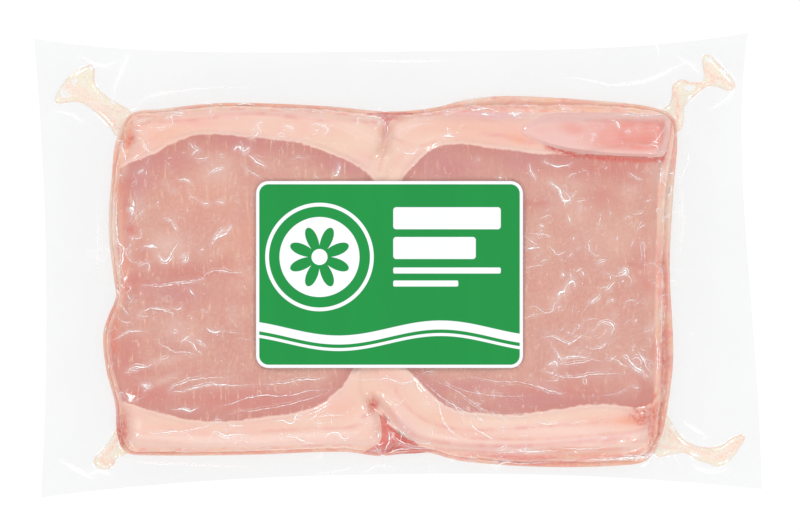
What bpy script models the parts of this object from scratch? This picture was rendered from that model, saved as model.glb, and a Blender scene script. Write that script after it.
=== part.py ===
"""Vacuum-packed pork steaks: a clear pouch shrunk onto two stacks of butterflied loin steaks.

The pack lies on its back with the label up. X runs along its length, Y across it and Z up,
and the origin is under its middle, on the surface it lies on. Two stacks lie side by side,
each two steaks high. A steak is a wide lean face between two strips of rind fat. The pouch's
spare film stands out all round as a thin flange, with a little meat juice caught in each corner.

Sizes are in millimetres until a mesh is made.
"""

import bmesh
import bpy
import numpy as np

MM = 0.001

# The pouch, a flat bag of 300 x 200 drawn in by what it holds
POUCH_LENGTH = 292.0
POUCH_WIDTH = 186.4
CORNERS = {
    "far_left": (-POUCH_LENGTH / 2, 90.8),
    "far_right": (140.4, POUCH_WIDTH / 2),
    "near_left": (-143.2, -POUCH_WIDTH / 2),
    "near_right": (POUCH_LENGTH / 2, -90.0),
}
# How far each edge bows in, how square its bow is, and how far the bow leans to its far end
BOWS = {
    "far": (6.4, 4.0, 1.0),
    "near": (7.8, 2.3, 1.0),
    "left": (3.4, 2.0, 1.0),
    "right": (4.0, 2.0, 2.1),
}
FLANGE_HEIGHT = 9.5
FLANGE_THICKNESS = 0.6
FLANGE_WAVE = 0.8
FLANGE_WAVE_FADE = 20.0
TENT_REACH = 1.3

# The two stacks
STACK_HEIGHT = 27.2
SHOULDER_HEIGHT = 23.0
SHOULDER_RADIUS = 3.6
FOOT_RISE = 1.6
FOOT_DROP = 2.0
LEDGE_HEIGHT = 14.4
LEDGE_SHARE = 0.4
LEAST_WALL = 3.6
UNDER_RADIUS = 7.0
SEAM = ((-4.6, 66), (-4.9, 50), (-8.4, 34), (-9.1, 0), (-11.6, -46), (-8.6, -58), (-6, -80))
UNDER_SEAM_DEPTH = 4.5
UNDER_SEAM_WIDTH = 3.6
LEAST_SEAM = 0.05
BRIDGE_DROP = 1.1
BRIDGE_HALF_LENGTH = 47.0
BRIDGE_HALF_WIDTH = 7.0
BRIDGE_FADE = 6.0

# Seen from above: the whole block, the top steak of each stack, and each steak's lean face
BLOCK = (
    (-107, 60.5), (-113, 50), (-114.6, 38), (-116, 14), (-114, -5), (-113.2, -13), (-116, -20),
    (-118.3, -28), (-117, -42), (-113.4, -56), (-112.6, -68), (-109, -75), (-100, -76.3),
    (-60, -76.1), (-22, -74.9), (-7, -76.6), (10, -75), (26, -78.7), (60, -81), (90, -80.3),
    (100, -78), (105.4, -69), (108.6, -54), (110.4, -36), (109, 0), (110.5, 30), (112, 50),
    (110.4, 59), (103, 63), (85, 65.5), (45, 67.8), (28, 66.4), (14, 63), (-4, 61.6),
    (-30, 63.8), (-70, 65), (-95, 62.5),
)
LEFT_STEAK = (
    (-108, 57.5), (-100, 60), (-88, 62), (-70, 63.3), (-45, 63), (-25, 61.5), (-12, 60),
    (-5.8, 57), (-5.4, 50), (-8, 40), (-9, 28), (-9.6, 0), (-11.2, -30), (-12, -46),
    (-10.8, -55), (-7.8, -60), (-6.8, -65), (-7, -70), (-10, -72.4),
    (-30, -74), (-60, -74.8), (-90, -74), (-105, -72.6), (-108.6, -69), (-109.4, -60),
    (-113, -53), (-115.4, -42), (-116, -30), (-114.2, -21), (-111.8, -14), (-112.8, -4),
    (-113.4, 12), (-112.6, 30), (-111.6, 38), (-107.8, 44.6), (-105.8, 49), (-107.4, 53.6),
)
RIGHT_STEAK = (
    (-3.4, 57), (3, 60), (20, 60.6), (45, 60.6), (75, 60.6), (100, 60.2), (107, 58),
    (108.4, 50), (106.4, 43), (104, 34), (103, 16), (102.4, -10), (102, -40), (101.4, -56),
    (100.6, -67), (97, -73), (85, -75.2), (60, -75.7), (38, -75.3), (20, -74), (10, -72),
    (4.6, -69.4), (-0.2, -65.4), (-3.2, -61.6), (-6, -58), (-9.6, -53.6), (-11, -46),
    (-10.2, -30), (-8.6, 0), (-8, 28), (-7, 40), (-4.4, 50),
)
LEFT_LEAN = (
    (-116, 34), (-108, 40), (-100, 43.5), (-87, 50), (-78, 52), (-60, 50.8), (-50, 50),
    (-35, 47.5), (-22, 42.5), (-10, 34), (-7, 16), (-8, -10), (-13, -32), (-20, -45),
    (-26, -52), (-35, -57.5), (-50, -60.5), (-66, -62), (-82, -62), (-94, -59.5),
    (-102, -57), (-110, -54.5), (-119, -50), (-121, -10),
)
RIGHT_LEAN = (
    (2, 34), (5, 38.5), (12, 45), (20, 48), (30, 47.8), (42, 46.2), (55, 44.5), (75, 44.5),
    (108, 45), (110, 20), (108, -20), (106, -50), (98, -56.6), (88, -56), (78, -55.6),
    (62, -57.8), (48, -59.8), (34, -59.4), (22, -57.4), (13, -51.6), (7, -44.4), (1, -38),
    (-1, -16), (-1, 14),
)
FAT_RISE = 1.0
FAT_SLOPE = 2.4
FAT_GROOVE = 0.5

# The end of the right steak's rind, folded back over it
FLAP = (
    (49.6, 54), (54, 50.4), (59, 48), (66.6, 46), (74, 44.8), (86, 43.8), (98, 43.4),
    (105.4, 43.4), (107.2, 45), (109.2, 56), (108, 60), (100, 60.4), (86, 60.8), (70, 61),
    (60, 60.4), (53.6, 57.4),
)
FLAP_THICKNESS = 2.0
FLAP_EDGE = 1.8

# The soft hinge across each butterflied steak, as a line, its depth and its width
HINGES = (
    (((-116, -14), (-104, -8.4), (-88, -8), (-78, -5.4), (-70, 0.5), (-50, 2)), 1.9, 4.0),
    (((46, 2), (66, 3.6), (84, 2.4), (103, -1)), 1.0, 3.6),
)

# The gentle rise and fall of the lean faces
SWELL = 0.55

# Outlines of the meat juice caught in the corners of the flange
POCKETS = (
    (
        (-106.4, 60.6), (-113, 65.2), (-118, 68.8), (-121.6, 73), (-121.8, 79), (-123.6, 80.4),
        (-128.8, 78), (-133, 74.8), (-136, 70.4), (-137.8, 66.4), (-136.6, 64.8), (-129.6, 65.4),
        (-126, 64.6), (-120, 60), (-115.6, 55.4), (-112.6, 51.6), (-107, 54),
    ),
    (
        (105, 61), (108.8, 64.6), (109.8, 68), (110.2, 72), (113.6, 74.4), (118, 73.4),
        (121.8, 73.8), (122.6, 77), (121.9, 82), (123, 84.2), (125.2, 84.2), (128, 81.4),
        (131.6, 77.6), (134.4, 74.4), (135.2, 71), (132.4, 70), (127, 71.6), (123, 71),
        (119, 67.4), (115, 63.6), (114.8, 59), (113.2, 54), (109, 54),
    ),
    (
        (106, -58.6), (108.4, -61), (110.6, -64.4), (113.4, -68.6), (118, -71.8), (124, -73.2),
        (129.8, -72.2), (133.8, -69.4), (137.8, -68), (139.2, -69.4), (137.4, -72.6),
        (133.6, -78), (128.8, -81), (125.4, -80.2), (119.6, -78), (115, -75.4), (109.6, -76),
        (103.6, -76.6), (101, -70),
    ),
    (
        (-110.6, -65), (-113.4, -66.4), (-116, -70.8), (-119.2, -74.6), (-122.2, -78.4),
        (-120.8, -81.2), (-117.8, -82.2), (-114.4, -80.6), (-112.6, -77.6), (-108.4, -75.6),
        (-106, -71),
    ),
)
POCKET_BULGE = 1.7
POCKET_ROUNDING = 3.0

# The label, stuck on top of the film
LABEL_CENTRE = (-3.4, -3.8)
LABEL_LENGTH = 106.8
LABEL_WIDTH = 74.8
LABEL_CORNER = 5.0
LABEL_THICKNESS = 0.4
LABEL_CLEARANCE = 0.5
LABEL_HEIGHT = 28.0
LABEL_SAG = 1.0
LABEL_SAG_X = -9.0
LABEL_SAG_WIDTH = 16.0
LABEL_FALL = 0.3
LABEL_WAVE = 0.2
LABEL_WAVE_LENGTH = 26.0
LABEL_SKIRT = 9.0
LABEL_SKIRT_RISE = 3.0

POUCH_CELL = 1.6
POUCH_KEPT = 0.118
LABEL_CELL = 5.0
RESTING_WITHIN = 0.03


def clear_scene():
    for thing in list(bpy.data.objects):
        bpy.data.objects.remove(thing, do_unlink=True)


def new_collection(name):
    collection = bpy.data.collections.new(name)
    bpy.context.scene.collection.children.link(collection)
    return collection


def plain_material(name, colour, roughness):
    material = bpy.data.materials.new(name)
    material.use_nodes = True
    shader = material.node_tree.nodes["Principled BSDF"]
    shader.inputs["Base Color"].default_value = (*colour, 1.0)
    shader.inputs["Roughness"].default_value = roughness
    shader.inputs["Metallic"].default_value = 0.0
    return material


def closed_curve(points, steps=6):
    """A smooth closed line through the points, which heads at each one from the last to the next."""
    knots = np.array(points, float)
    following = np.roll(knots, -1, axis=0)
    heading = following - np.roll(knots, 1, axis=0)
    heading /= np.linalg.norm(heading, axis=1, keepdims=True)
    span = np.linalg.norm(following - knots, axis=1)[:, None, None]
    t = np.linspace(0, 1, steps, endpoint=False)[None, :, None]
    leaving = heading[:, None] * span
    arriving = np.roll(heading, -1, axis=0)[:, None] * span
    start, end = knots[:, None], following[:, None]
    curve = start * (2 * t**3 - 3 * t**2 + 1) + end * (3 * t**2 - 2 * t**3)
    curve = curve + leaving * (t**3 - 2 * t**2 + t) + arriving * (t**3 - t**2)
    return curve.reshape(-1, 2)


def along_segment(start, end, x, y):
    """How far along one segment, from 0 to 1, each point's nearest spot lies, and how far off it is."""
    run = np.subtract(end, start)
    share = ((x - start[0]) * run[0] + (y - start[1]) * run[1]) / (run @ run)
    share = np.clip(share, 0, 1)
    return share, np.hypot(x - start[0] - share * run[0], y - start[1] - share * run[1])


def distance_to_line(line, x, y):
    return np.min([along_segment(a, b, x, y)[1] for a, b in zip(line, line[1:])], axis=0)


def inside_distance(outline, x, y):
    """The distance to a closed outline, positive inside it."""
    curve = closed_curve(outline)
    nearest = np.full(x.shape, np.inf)
    inside = np.zeros(x.shape, bool)
    for (ax, ay), (bx, by) in zip(curve, np.roll(curve, -1, axis=0)):
        nearest = np.minimum(nearest, along_segment((ax, ay), (bx, by), x, y)[1])
        if ay != by:
            crossing = ax + (y - ay) * (bx - ax) / (by - ay)
            inside ^= ((ay > y) != (by > y)) & (x < crossing)
    return np.where(inside, nearest, -nearest)


def ease(t):
    t = np.clip(t, 0, 1)
    return t * t * (3 - 2 * t)


def quarter_round(t):
    """From 0 to 1, upright at the start and level at the end."""
    return np.sqrt(1 - (1 - np.clip(t, 0, 1)) ** 2)


def bowed_edge(share, start, end, bow, inward):
    """A point on a pouch edge, straight from start to end but for its bow."""
    depth, squareness, lean = bow
    pull = depth * (1 - np.abs(2 * share**lean - 1) ** squareness)
    x = start[0] + (end[0] - start[0]) * share + inward[0] * pull
    y = start[1] + (end[1] - start[1]) * share + inward[1] * pull
    return x, y


def pouch_plan(u, v):
    """The place, seen from above, of the point at shares u and v of the pouch's length and width."""
    c = CORNERS
    near = bowed_edge(u, c["near_left"], c["near_right"], BOWS["near"], (0, 1))
    far = bowed_edge(u, c["far_left"], c["far_right"], BOWS["far"], (0, -1))
    left = bowed_edge(v, c["near_left"], c["far_left"], BOWS["left"], (1, 0))
    right = bowed_edge(v, c["near_right"], c["far_right"], BOWS["right"], (-1, 0))
    place = []
    for axis in (0, 1):
        across = near[axis] * (1 - v) + far[axis] * v
        along = left[axis] * (1 - u) + right[axis] * u
        corners = (c["near_left"][axis] * (1 - u) + c["near_right"][axis] * u) * (1 - v)
        corners = corners + (c["far_left"][axis] * (1 - u) + c["far_right"][axis] * u) * v
        place.append(across + along - corners)
    return place


def pocket_bulge(x, y):
    """Half the thickness of the juice caught in the flange's corners."""
    bulge = np.zeros(x.shape)
    for outline in POCKETS:
        depth = inside_distance(outline, x, y)
        bulge = np.maximum(bulge, POCKET_BULGE * quarter_round(depth / POCKET_ROUNDING))
    return bulge


def flange_middle(x, y, outside):
    """The height of the spare film, which ripples a little away from the meat."""
    ripple = np.sin(x / 19 + y / 31) * np.cos(y / 23 - x / 47)
    return FLANGE_HEIGHT + FLANGE_WAVE * ripple * ease(outside / FLANGE_WAVE_FADE)


def wall_height(share):
    """The side of a stack, from the pouch's foot to the top steak's edge, over the lower steak's."""
    foot = FLANGE_HEIGHT + FOOT_RISE
    lower = (LEDGE_HEIGHT - foot) * quarter_round(share / LEDGE_SHARE)
    upper_share = (share - LEDGE_SHARE) / (1 - LEDGE_SHARE)
    return foot + lower + (SHOULDER_HEIGHT - LEDGE_HEIGHT) * quarter_round(upper_share)


def lean_relief(x, y):
    """The rind fat, which stands a little above the lean, with a groove where they meet."""
    lean = np.maximum(inside_distance(LEFT_LEAN, x, y), inside_distance(RIGHT_LEAN, x, y))
    return FAT_RISE * ease(-lean / FAT_SLOPE) - FAT_GROOVE * np.exp(-((lean / FAT_SLOPE) ** 2))


def steak_relief(x, y):
    relief = lean_relief(x, y)
    for line, depth, width in HINGES:
        relief = relief - depth * np.exp(-((distance_to_line(line, x, y) / width) ** 2))
    relief = relief + FLAP_THICKNESS * ease(inside_distance(FLAP, x, y) / FLAP_EDGE)
    return relief + SWELL * np.sin(x / 17 + 1) * np.cos(y / 21 - x / 60)


def bridged(height, x, y):
    """The film and fat span the seam between the stacks, but for its two ends."""
    reach = ease((BRIDGE_HALF_LENGTH - np.abs(y)) / BRIDGE_FADE)
    reach = reach * ease((BRIDGE_HALF_WIDTH - distance_to_line(SEAM, x, y)) / BRIDGE_FADE)
    return height + reach * np.maximum(STACK_HEIGHT - BRIDGE_DROP - height, 0)


def label_under(x, y):
    """The height of the label's underside: it sags a little over the seam and ripples along its length."""
    sag = LABEL_SAG * np.exp(-(((x - LABEL_SAG_X) / LABEL_SAG_WIDTH) ** 2))
    fall = LABEL_FALL * ((x - LABEL_CENTRE[0]) / LABEL_LENGTH * 2) ** 4
    ripple = LABEL_WAVE * np.sin(2 * np.pi * x / LABEL_WAVE_LENGTH + y / 40)
    return LABEL_HEIGHT - sag - fall + ripple


def top_height(x, y):
    block = inside_distance(BLOCK, x, y)
    steak = np.maximum(inside_distance(LEFT_STEAK, x, y), inside_distance(RIGHT_STEAK, x, y))
    flange = flange_middle(x, y, -block) + FLANGE_THICKNESS / 2

    tent = flange + FOOT_RISE * np.exp(np.minimum(block, 0) / TENT_REACH)
    wall = wall_height(block / np.maximum(block + np.maximum(-steak, 0), LEAST_WALL))
    crown = (STACK_HEIGHT - SHOULDER_HEIGHT) * (1 - np.exp(-np.maximum(steak, 0) / SHOULDER_RADIUS))
    stack = wall + crown + steak_relief(x, y) * ease(steak / SHOULDER_RADIUS)
    height = np.where(block > 0, bridged(stack, x, y), tent)
    height = np.maximum(height, flange + pocket_bulge(x, y))

    off_x = np.maximum(np.abs(x - LABEL_CENTRE[0]) - LABEL_LENGTH / 2, 0)
    off_y = np.maximum(np.abs(y - LABEL_CENTRE[1]) - LABEL_WIDTH / 2, 0)
    outside_label = np.hypot(off_x, off_y) - LABEL_CELL
    ceiling = label_under(x, y) - LABEL_CLEARANCE + LABEL_SKIRT_RISE * ease(outside_label / LABEL_SKIRT)
    return np.where(outside_label < LABEL_SKIRT, np.minimum(height, ceiling), height)


def bottom_height(x, y):
    """Flat where it rests, rounded up to the flange, and drawn up between the stacks."""
    block = inside_distance(BLOCK, x, y)
    flange = flange_middle(x, y, -block) - FLANGE_THICKNESS / 2
    foot = FLANGE_HEIGHT - FOOT_DROP
    under = foot * (1 - quarter_round(block / UNDER_RADIUS))
    seam = UNDER_SEAM_DEPTH * np.exp(-((distance_to_line(SEAM, x, y) / UNDER_SEAM_WIDTH) ** 2))
    seam = np.where(seam > LEAST_SEAM, seam, 0)
    tent = flange - (flange - foot) * np.exp(np.minimum(block, 0) / TENT_REACH)
    height = np.where(block > 0, np.maximum(under, seam), tent)
    return np.minimum(height, flange - pocket_bulge(x, y) * (block < 0))


def closed_sheet(name, cells_along, cells_across, place):
    """A closed slab of a grid's outline, whose points go where place puts them."""
    sheet = bmesh.new()
    bmesh.ops.create_grid(sheet, x_segments=cells_along, y_segments=cells_across, size=0.5)
    pulled = bmesh.ops.extrude_face_region(sheet, geom=sheet.faces[:])["geom"]
    under = [part for part in pulled if isinstance(part, bmesh.types.BMVert)]
    bmesh.ops.translate(sheet, verts=under, vec=(0, 0, -1))
    bmesh.ops.recalc_face_normals(sheet, faces=sheet.faces[:])
    mesh = bpy.data.meshes.new(name)
    sheet.to_mesh(mesh)
    sheet.free()
    flat = np.empty(len(mesh.vertices) * 3, np.float32)
    mesh.vertices.foreach_get("co", flat)
    u, v, level = flat.reshape(-1, 3).astype(float).T
    placed = np.column_stack(place(u + 0.5, v + 0.5, level > -0.5)) * MM
    mesh.vertices.foreach_set("co", placed.astype(np.float32).ravel())
    mesh.update()
    return mesh


def place_pouch(u, v, on_top):
    x, y = pouch_plan(u, v)
    return x, y, np.where(on_top, top_height(x, y), bottom_height(x, y))


def place_label(u, v, on_top):
    x = LABEL_CENTRE[0] + (u - 0.5) * LABEL_LENGTH
    y = LABEL_CENTRE[1] + (v - 0.5) * LABEL_WIDTH
    return x, y, label_under(x, y) + np.where(on_top, LABEL_THICKNESS, 0)


def settled(mesh):
    """Sets what lies within a hair of the surface below flat on it."""
    points = np.empty(len(mesh.vertices) * 3, np.float32)
    mesh.vertices.foreach_get("co", points)
    heights = points[2::3]
    heights[heights < RESTING_WITHIN * MM] = 0
    mesh.vertices.foreach_set("co", points)
    mesh.update()


def make_pouch(collection):
    cells = round(POUCH_LENGTH / POUCH_CELL), round(POUCH_WIDTH / POUCH_CELL)
    fine = bpy.data.objects.new("pouch", closed_sheet("pouch", *cells, place_pouch))
    collection.objects.link(fine)
    thinned = fine.modifiers.new("fewer faces where it is even", "DECIMATE")
    thinned.ratio = POUCH_KEPT
    thinned.use_collapse_triangulate = True
    graph = bpy.context.evaluated_depsgraph_get()
    fine.data = bpy.data.meshes.new_from_object(fine.evaluated_get(graph))
    fine.modifiers.clear()
    settled(fine.data)
    fine.data.shade_smooth()
    fine.data.materials.append(plain_material("pork in clear film", (0.72, 0.36, 0.30), 0.2))
    return fine


def label_cutter(collection):
    """An upright block with the label's outline and round corners."""
    block = bmesh.new()
    bmesh.ops.create_cube(block, size=1.0)
    size = LABEL_LENGTH - 0.2, LABEL_WIDTH - 0.2, 20.0
    bmesh.ops.scale(block, vec=[side * MM for side in size], verts=block.verts[:])
    upright = [e for e in block.edges if abs(e.verts[0].co.z - e.verts[1].co.z) > MM]
    bmesh.ops.bevel(block, geom=upright, offset=LABEL_CORNER * MM, segments=6, profile=0.5, affect="EDGES")
    mesh = bpy.data.meshes.new("label outline")
    block.to_mesh(mesh)
    block.free()
    cutter = bpy.data.objects.new("label_outline", mesh)
    cutter.location = (LABEL_CENTRE[0] * MM, LABEL_CENTRE[1] * MM, LABEL_HEIGHT * MM)
    cutter.hide_render = True
    cutter.display_type = "WIRE"
    collection.objects.link(cutter)
    return cutter


def make_label(collection, cutter):
    cells = round(LABEL_LENGTH / LABEL_CELL), round(LABEL_WIDTH / LABEL_CELL)
    label = bpy.data.objects.new("label", closed_sheet("label", *cells, place_label))
    collection.objects.link(label)
    rounded = label.modifiers.new("round corners", "BOOLEAN")
    rounded.operation = "INTERSECT"
    rounded.object = cutter
    rounded.solver = "EXACT"
    label.data.materials.append(plain_material("printed label", (0.03, 0.33, 0.08), 0.35))
    return label


def main():
    clear_scene()
    parts = new_collection("vacuum packed pork steaks")
    cutters = new_collection("cutters")
    make_pouch(parts)
    make_label(parts, label_cutter(cutters))


main()
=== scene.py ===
import functools
import math

import bmesh
import bpy
import numpy as np
from bpy.props import FloatProperty, FloatVectorProperty, IntProperty, PointerProperty
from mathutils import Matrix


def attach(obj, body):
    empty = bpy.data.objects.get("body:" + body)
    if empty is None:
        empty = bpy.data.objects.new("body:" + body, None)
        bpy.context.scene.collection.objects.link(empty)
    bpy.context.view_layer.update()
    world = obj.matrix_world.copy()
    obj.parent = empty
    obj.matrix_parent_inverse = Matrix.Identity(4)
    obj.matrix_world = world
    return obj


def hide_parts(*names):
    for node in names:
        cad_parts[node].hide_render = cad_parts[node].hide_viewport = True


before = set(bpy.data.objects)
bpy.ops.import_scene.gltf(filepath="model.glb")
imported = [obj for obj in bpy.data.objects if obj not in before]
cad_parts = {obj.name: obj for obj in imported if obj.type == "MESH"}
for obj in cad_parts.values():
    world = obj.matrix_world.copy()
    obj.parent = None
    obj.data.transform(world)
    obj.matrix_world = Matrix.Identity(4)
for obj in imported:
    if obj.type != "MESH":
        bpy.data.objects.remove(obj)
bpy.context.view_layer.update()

bl_info = {
    "name": "Vacuum Packed Pork Steaks",
    "version": (1, 0, 0),
    "blender": (4, 5, 0),
    "location": "3D View > Sidebar > Pork Pack",
    "description": "Builds butterflied pork steaks, the clear film shrunk onto them, juice and a label",
    "category": "Add Mesh",
}

# Sizes are in millimetres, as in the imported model's source, until a mesh is made.
MM = 0.001

# ---- the pack's form

POUCH_LENGTH = 292.0
POUCH_WIDTH = 186.4
CORNERS = {
    "far_left": (-POUCH_LENGTH / 2, 90.8),
    "far_right": (140.4, POUCH_WIDTH / 2),
    "near_left": (-143.2, -POUCH_WIDTH / 2),
    "near_right": (POUCH_LENGTH / 2, -90.0),
}
BOWS = {
    "far": (6.4, 4.0, 1.0),
    "near": (7.8, 2.3, 1.0),
    "left": (3.4, 2.0, 1.0),
    "right": (4.0, 2.0, 2.1),
}
FLANGE_HEIGHT = 9.5
FLANGE_THICKNESS = 0.6
FLANGE_WAVE = 0.8
FLANGE_WAVE_FADE = 20.0
TENT_REACH = 1.3

STACK_HEIGHT = 27.2
SHOULDER_HEIGHT = 23.0
SHOULDER_RADIUS = 3.6
FOOT_RISE = 1.6
FOOT_DROP = 2.0
LEDGE_HEIGHT = 14.4
LEDGE_SHARE = 0.4
LEAST_WALL = 3.6
UNDER_RADIUS = 7.0
SEAM = ((-4.6, 66), (-4.9, 50), (-8.4, 34), (-9.1, 0), (-11.6, -46), (-8.6, -58), (-6, -80))
UNDER_SEAM_DEPTH = 4.5
UNDER_SEAM_WIDTH = 3.6
BRIDGE_DROP = 1.1
BRIDGE_ENDS = (-55.0, 47.0)
BRIDGE_HALF_WIDTH = 7.0
BRIDGE_FADE = 6.0

BLOCK = (
    (-107, 60.5), (-113, 50), (-114.6, 38), (-116, 14), (-114, -5), (-113.2, -13), (-116, -20),
    (-118.3, -28), (-117, -42), (-113.4, -56), (-112.6, -68), (-109, -75), (-100, -76.3),
    (-60, -76.1), (-22, -74.9), (-7, -76.6), (10, -75), (26, -78.7), (60, -81), (90, -80.3),
    (100, -78), (105.4, -69), (108.6, -54), (110.4, -36), (109, 0), (110.5, 30), (112, 50),
    (110.4, 59), (103, 63), (85, 65.5), (45, 67.8), (28, 66.4), (14, 63), (-4, 61.6),
    (-30, 63.8), (-70, 65), (-95, 62.5),
)
LEFT_STEAK = (
    (-108, 57.5), (-100, 60), (-88, 62), (-70, 63.3), (-45, 63), (-25, 61.5), (-12, 60),
    (-5.8, 57), (-5.4, 50), (-8, 40), (-9, 28), (-9.6, 0), (-11.2, -30), (-12, -46),
    (-10.8, -55), (-7.8, -60), (-6.8, -65), (-7, -70), (-10, -72.4),
    (-30, -74), (-60, -74.8), (-90, -74), (-105, -72.6), (-108.6, -69), (-109.4, -60),
    (-113, -53), (-115.4, -42), (-116, -30), (-114.2, -21), (-111.8, -14), (-112.8, -4),
    (-113.4, 12), (-112.6, 30), (-111.6, 38), (-107.8, 44.6), (-105.8, 49), (-107.4, 53.6),
)
RIGHT_STEAK = (
    (-3.4, 57), (3, 60), (20, 60.6), (45, 60.6), (75, 60.6), (100, 60.2), (107, 58),
    (108.4, 50), (106.4, 43), (104, 34), (103, 16), (102.4, -10), (102, -40), (101.4, -56),
    (100.6, -67), (97, -73), (85, -75.2), (60, -75.7), (38, -75.3), (20, -74), (10, -72),
    (4.6, -69.4), (-0.2, -65.4), (-3.2, -61.6), (-6, -58), (-9.6, -53.6), (-11, -46),
    (-10.2, -30), (-8.6, 0), (-8, 28), (-7, 40), (-4.4, 50),
)
LEFT_LEAN = (
    (-116, 34), (-108, 40), (-100, 43.5), (-87, 50), (-78, 52), (-60, 50.8), (-50, 50),
    (-35, 47.5), (-22, 42.5), (-10, 34), (-7, 16), (-8, -10), (-13, -32), (-20, -45),
    (-26, -52), (-35, -57.5), (-50, -60.5), (-66, -62), (-82, -62), (-94, -59.5),
    (-102, -57), (-110, -54.5), (-119, -50), (-121, -10),
)
RIGHT_LEAN = (
    (2, 34), (5, 38.5), (12, 45), (20, 48), (30, 47.8), (42, 46.2), (55, 44.5), (75, 44.5),
    (108, 45), (110, 20), (108, -20), (106, -50), (98, -56.6), (88, -56), (78, -55.6),
    (62, -57.8), (48, -59.8), (34, -59.4), (22, -57.4), (13, -51.6), (7, -44.4), (1, -38),
    (-1, -16), (-1, 14),
)
FAT_RISE = 1.0
FAT_SLOPE = 2.4
FAT_GROOVE = 0.5
FLAP = (
    (49.6, 54), (54, 50.4), (59, 48), (66.6, 46), (74, 44.8), (86, 43.8), (98, 43.4),
    (105.4, 43.4), (107.2, 45), (109.2, 56), (108, 60), (100, 60.4), (86, 60.8), (70, 61),
    (60, 60.4), (53.6, 57.4),
)
FLAP_THICKNESS = 2.0
FLAP_EDGE = 1.3
HINGES = (
    (((-116, -14), (-104, -8.4), (-88, -8), (-78, -5.4), (-70, 0.5), (-50, 2)), 1.9, 4.0),
    (((46, 2), (66, 3.6), (84, 2.4), (103, -1)), 1.0, 3.6),
)
SWELL = 0.55
POCKETS = {
    "far_left": (
        (-106.4, 60.6), (-113, 65.2), (-118, 68.8), (-121.6, 73), (-121.8, 79), (-123.6, 80.4),
        (-128.8, 78), (-133, 74.8), (-136, 70.4), (-137.8, 66.4), (-136.6, 64.8), (-129.6, 65.4),
        (-126, 64.6), (-120, 60), (-115.6, 55.4), (-112.6, 51.6), (-107, 54),
    ),
    "far_right": (
        (105, 61), (108.8, 64.6), (109.8, 68), (110.2, 72), (113.6, 74.4), (118, 73.4),
        (121.8, 73.8), (122.6, 77), (121.9, 82), (123, 84.2), (125.2, 84.2), (128, 81.4),
        (131.6, 77.6), (134.4, 74.4), (135.2, 71), (132.4, 70), (127, 71.6), (123, 71),
        (119, 67.4), (115, 63.6), (114.8, 59), (113.2, 54), (109, 54),
    ),
    "near_right": (
        (106, -58.6), (108.4, -61), (110.6, -64.4), (113.4, -68.6), (118, -71.8), (124, -73.2),
        (129.8, -72.2), (133.8, -69.4), (137.8, -68), (139.2, -69.4), (137.4, -72.6),
        (133.6, -78), (128.8, -81), (125.4, -80.2), (119.6, -78), (115, -75.4), (109.6, -76),
        (103.6, -76.6), (101, -70),
    ),
    "near_left": (
        (-110.6, -65), (-113.4, -66.4), (-116, -70.8), (-119.2, -74.6), (-122.2, -78.4),
        (-120.8, -81.2), (-117.8, -82.2), (-114.4, -80.6), (-112.6, -77.6), (-108.4, -75.6),
        (-106, -71),
    ),
}
POCKET_BULGE = 1.7
POCKET_ROUNDING = 3.0
# Flesh-coloured threads of juice inside the pockets: width, strength, then each point's x and y
POCKET_THREADS = (
    (2.6, 0.75, -132, 71.6, -125, 66.6, -118, 61.2, -112.4, 57.4),
    (1.4, 0.9, -120.6, 62.6, -116.4, 59, -112.6, 55.4, -110.6, 54),
    (0.7, 0.9, -126, 70.4, -119.6, 65, -113.4, 62, -109.4, 61.4),
    (0.6, 0.7, -132.4, 76, -128.6, 78.6, -124.2, 80.2), (1.8, 0.9, 123.6, 79.4, 125.4, 75.6, 126.4, 72.8),
    (1.2, 0.9, 125.6, 76.4, 130, 74.4, 134, 72), (1.4, 1, 110.6, 70, 112, 66, 112.2, 61.6, 111.6, 56),
    (0.8, 1, 113.6, 73.8, 119, 72.8, 124, 72.4), (0.7, 0.9, 114.8, 63.2, 119.4, 68.4, 122, 71),
    (1.8, 0.9, 128, -77.4, 131.4, -76, 135, -72.4, 138, -69.6),
    (2.4, 0.6, 105, -65, 111, -70, 118, -73.8, 126, -76.4),
    (0.8, 1, 106, -63, 112, -70, 118, -73.4, 125, -76), (1, 0.9, 104, -72, 110, -73.4, 116, -74.4),
    (1.6, 0.9, -119, -77, -116.8, -79.6, -114.6, -78.8), (1.2, 0.9, -112, -68, -114.6, -73, -117.6, -76.4),
)
# Clear bubbles in them: x, y, radius along and across, turned by degrees
POCKET_BUBBLES = (
    (-132.2, 70.2, 4.3, 2.6, 46), (-129.6, 73.8, 1.4, 1.1, 0), (-122.9, 79.3, 1.1, 0.8, 20),
    (-114.2, 65.4, 1.3, 0.9, -40), (124.8, 82.2, 1.5, 1, 0), (117, 71, 2.6, 1.3, 0),
    (116.8, 66.6, 0.9, 1.8, 0), (113.2, 58.6, 0.6, 2.4, 0), (130.4, 77.6, 2, 0.8, -45),
    (119.4, -75.8, 2.4, 1.2, -10), (135.8, -71.8, 0.8, 0.8, 0), (137.2, -69.9, 0.6, 0.6, 0),
    (110.4, -65.4, 1.2, 1.4, 0), (-119.6, -76.6, 1.4, 1.4, 0), (-112.2, -70.4, 1.2, 1.6, 0),
    (-117.4, -81, 1.4, 0.6, 0),
)
LABEL_CENTRE = (-3.4, -3.8)
LABEL_LENGTH = 106.8
LABEL_WIDTH = 74.8
LABEL_CORNER = 5.0
LABEL_THICKNESS = 0.4
LABEL_CLEARANCE = 0.5
LABEL_HEIGHT = 28.0
LABEL_SAG = 1.0
LABEL_SAG_X = -9.0
LABEL_SAG_WIDTH = 16.0
LABEL_FALL = 0.3
LABEL_WAVE = 0.2
LABEL_WAVE_LENGTH = 26.0
LABEL_SKIRT = 9.0
LABEL_SKIRT_RISE = 3.0
LABEL_MARGIN = 5.0
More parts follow.
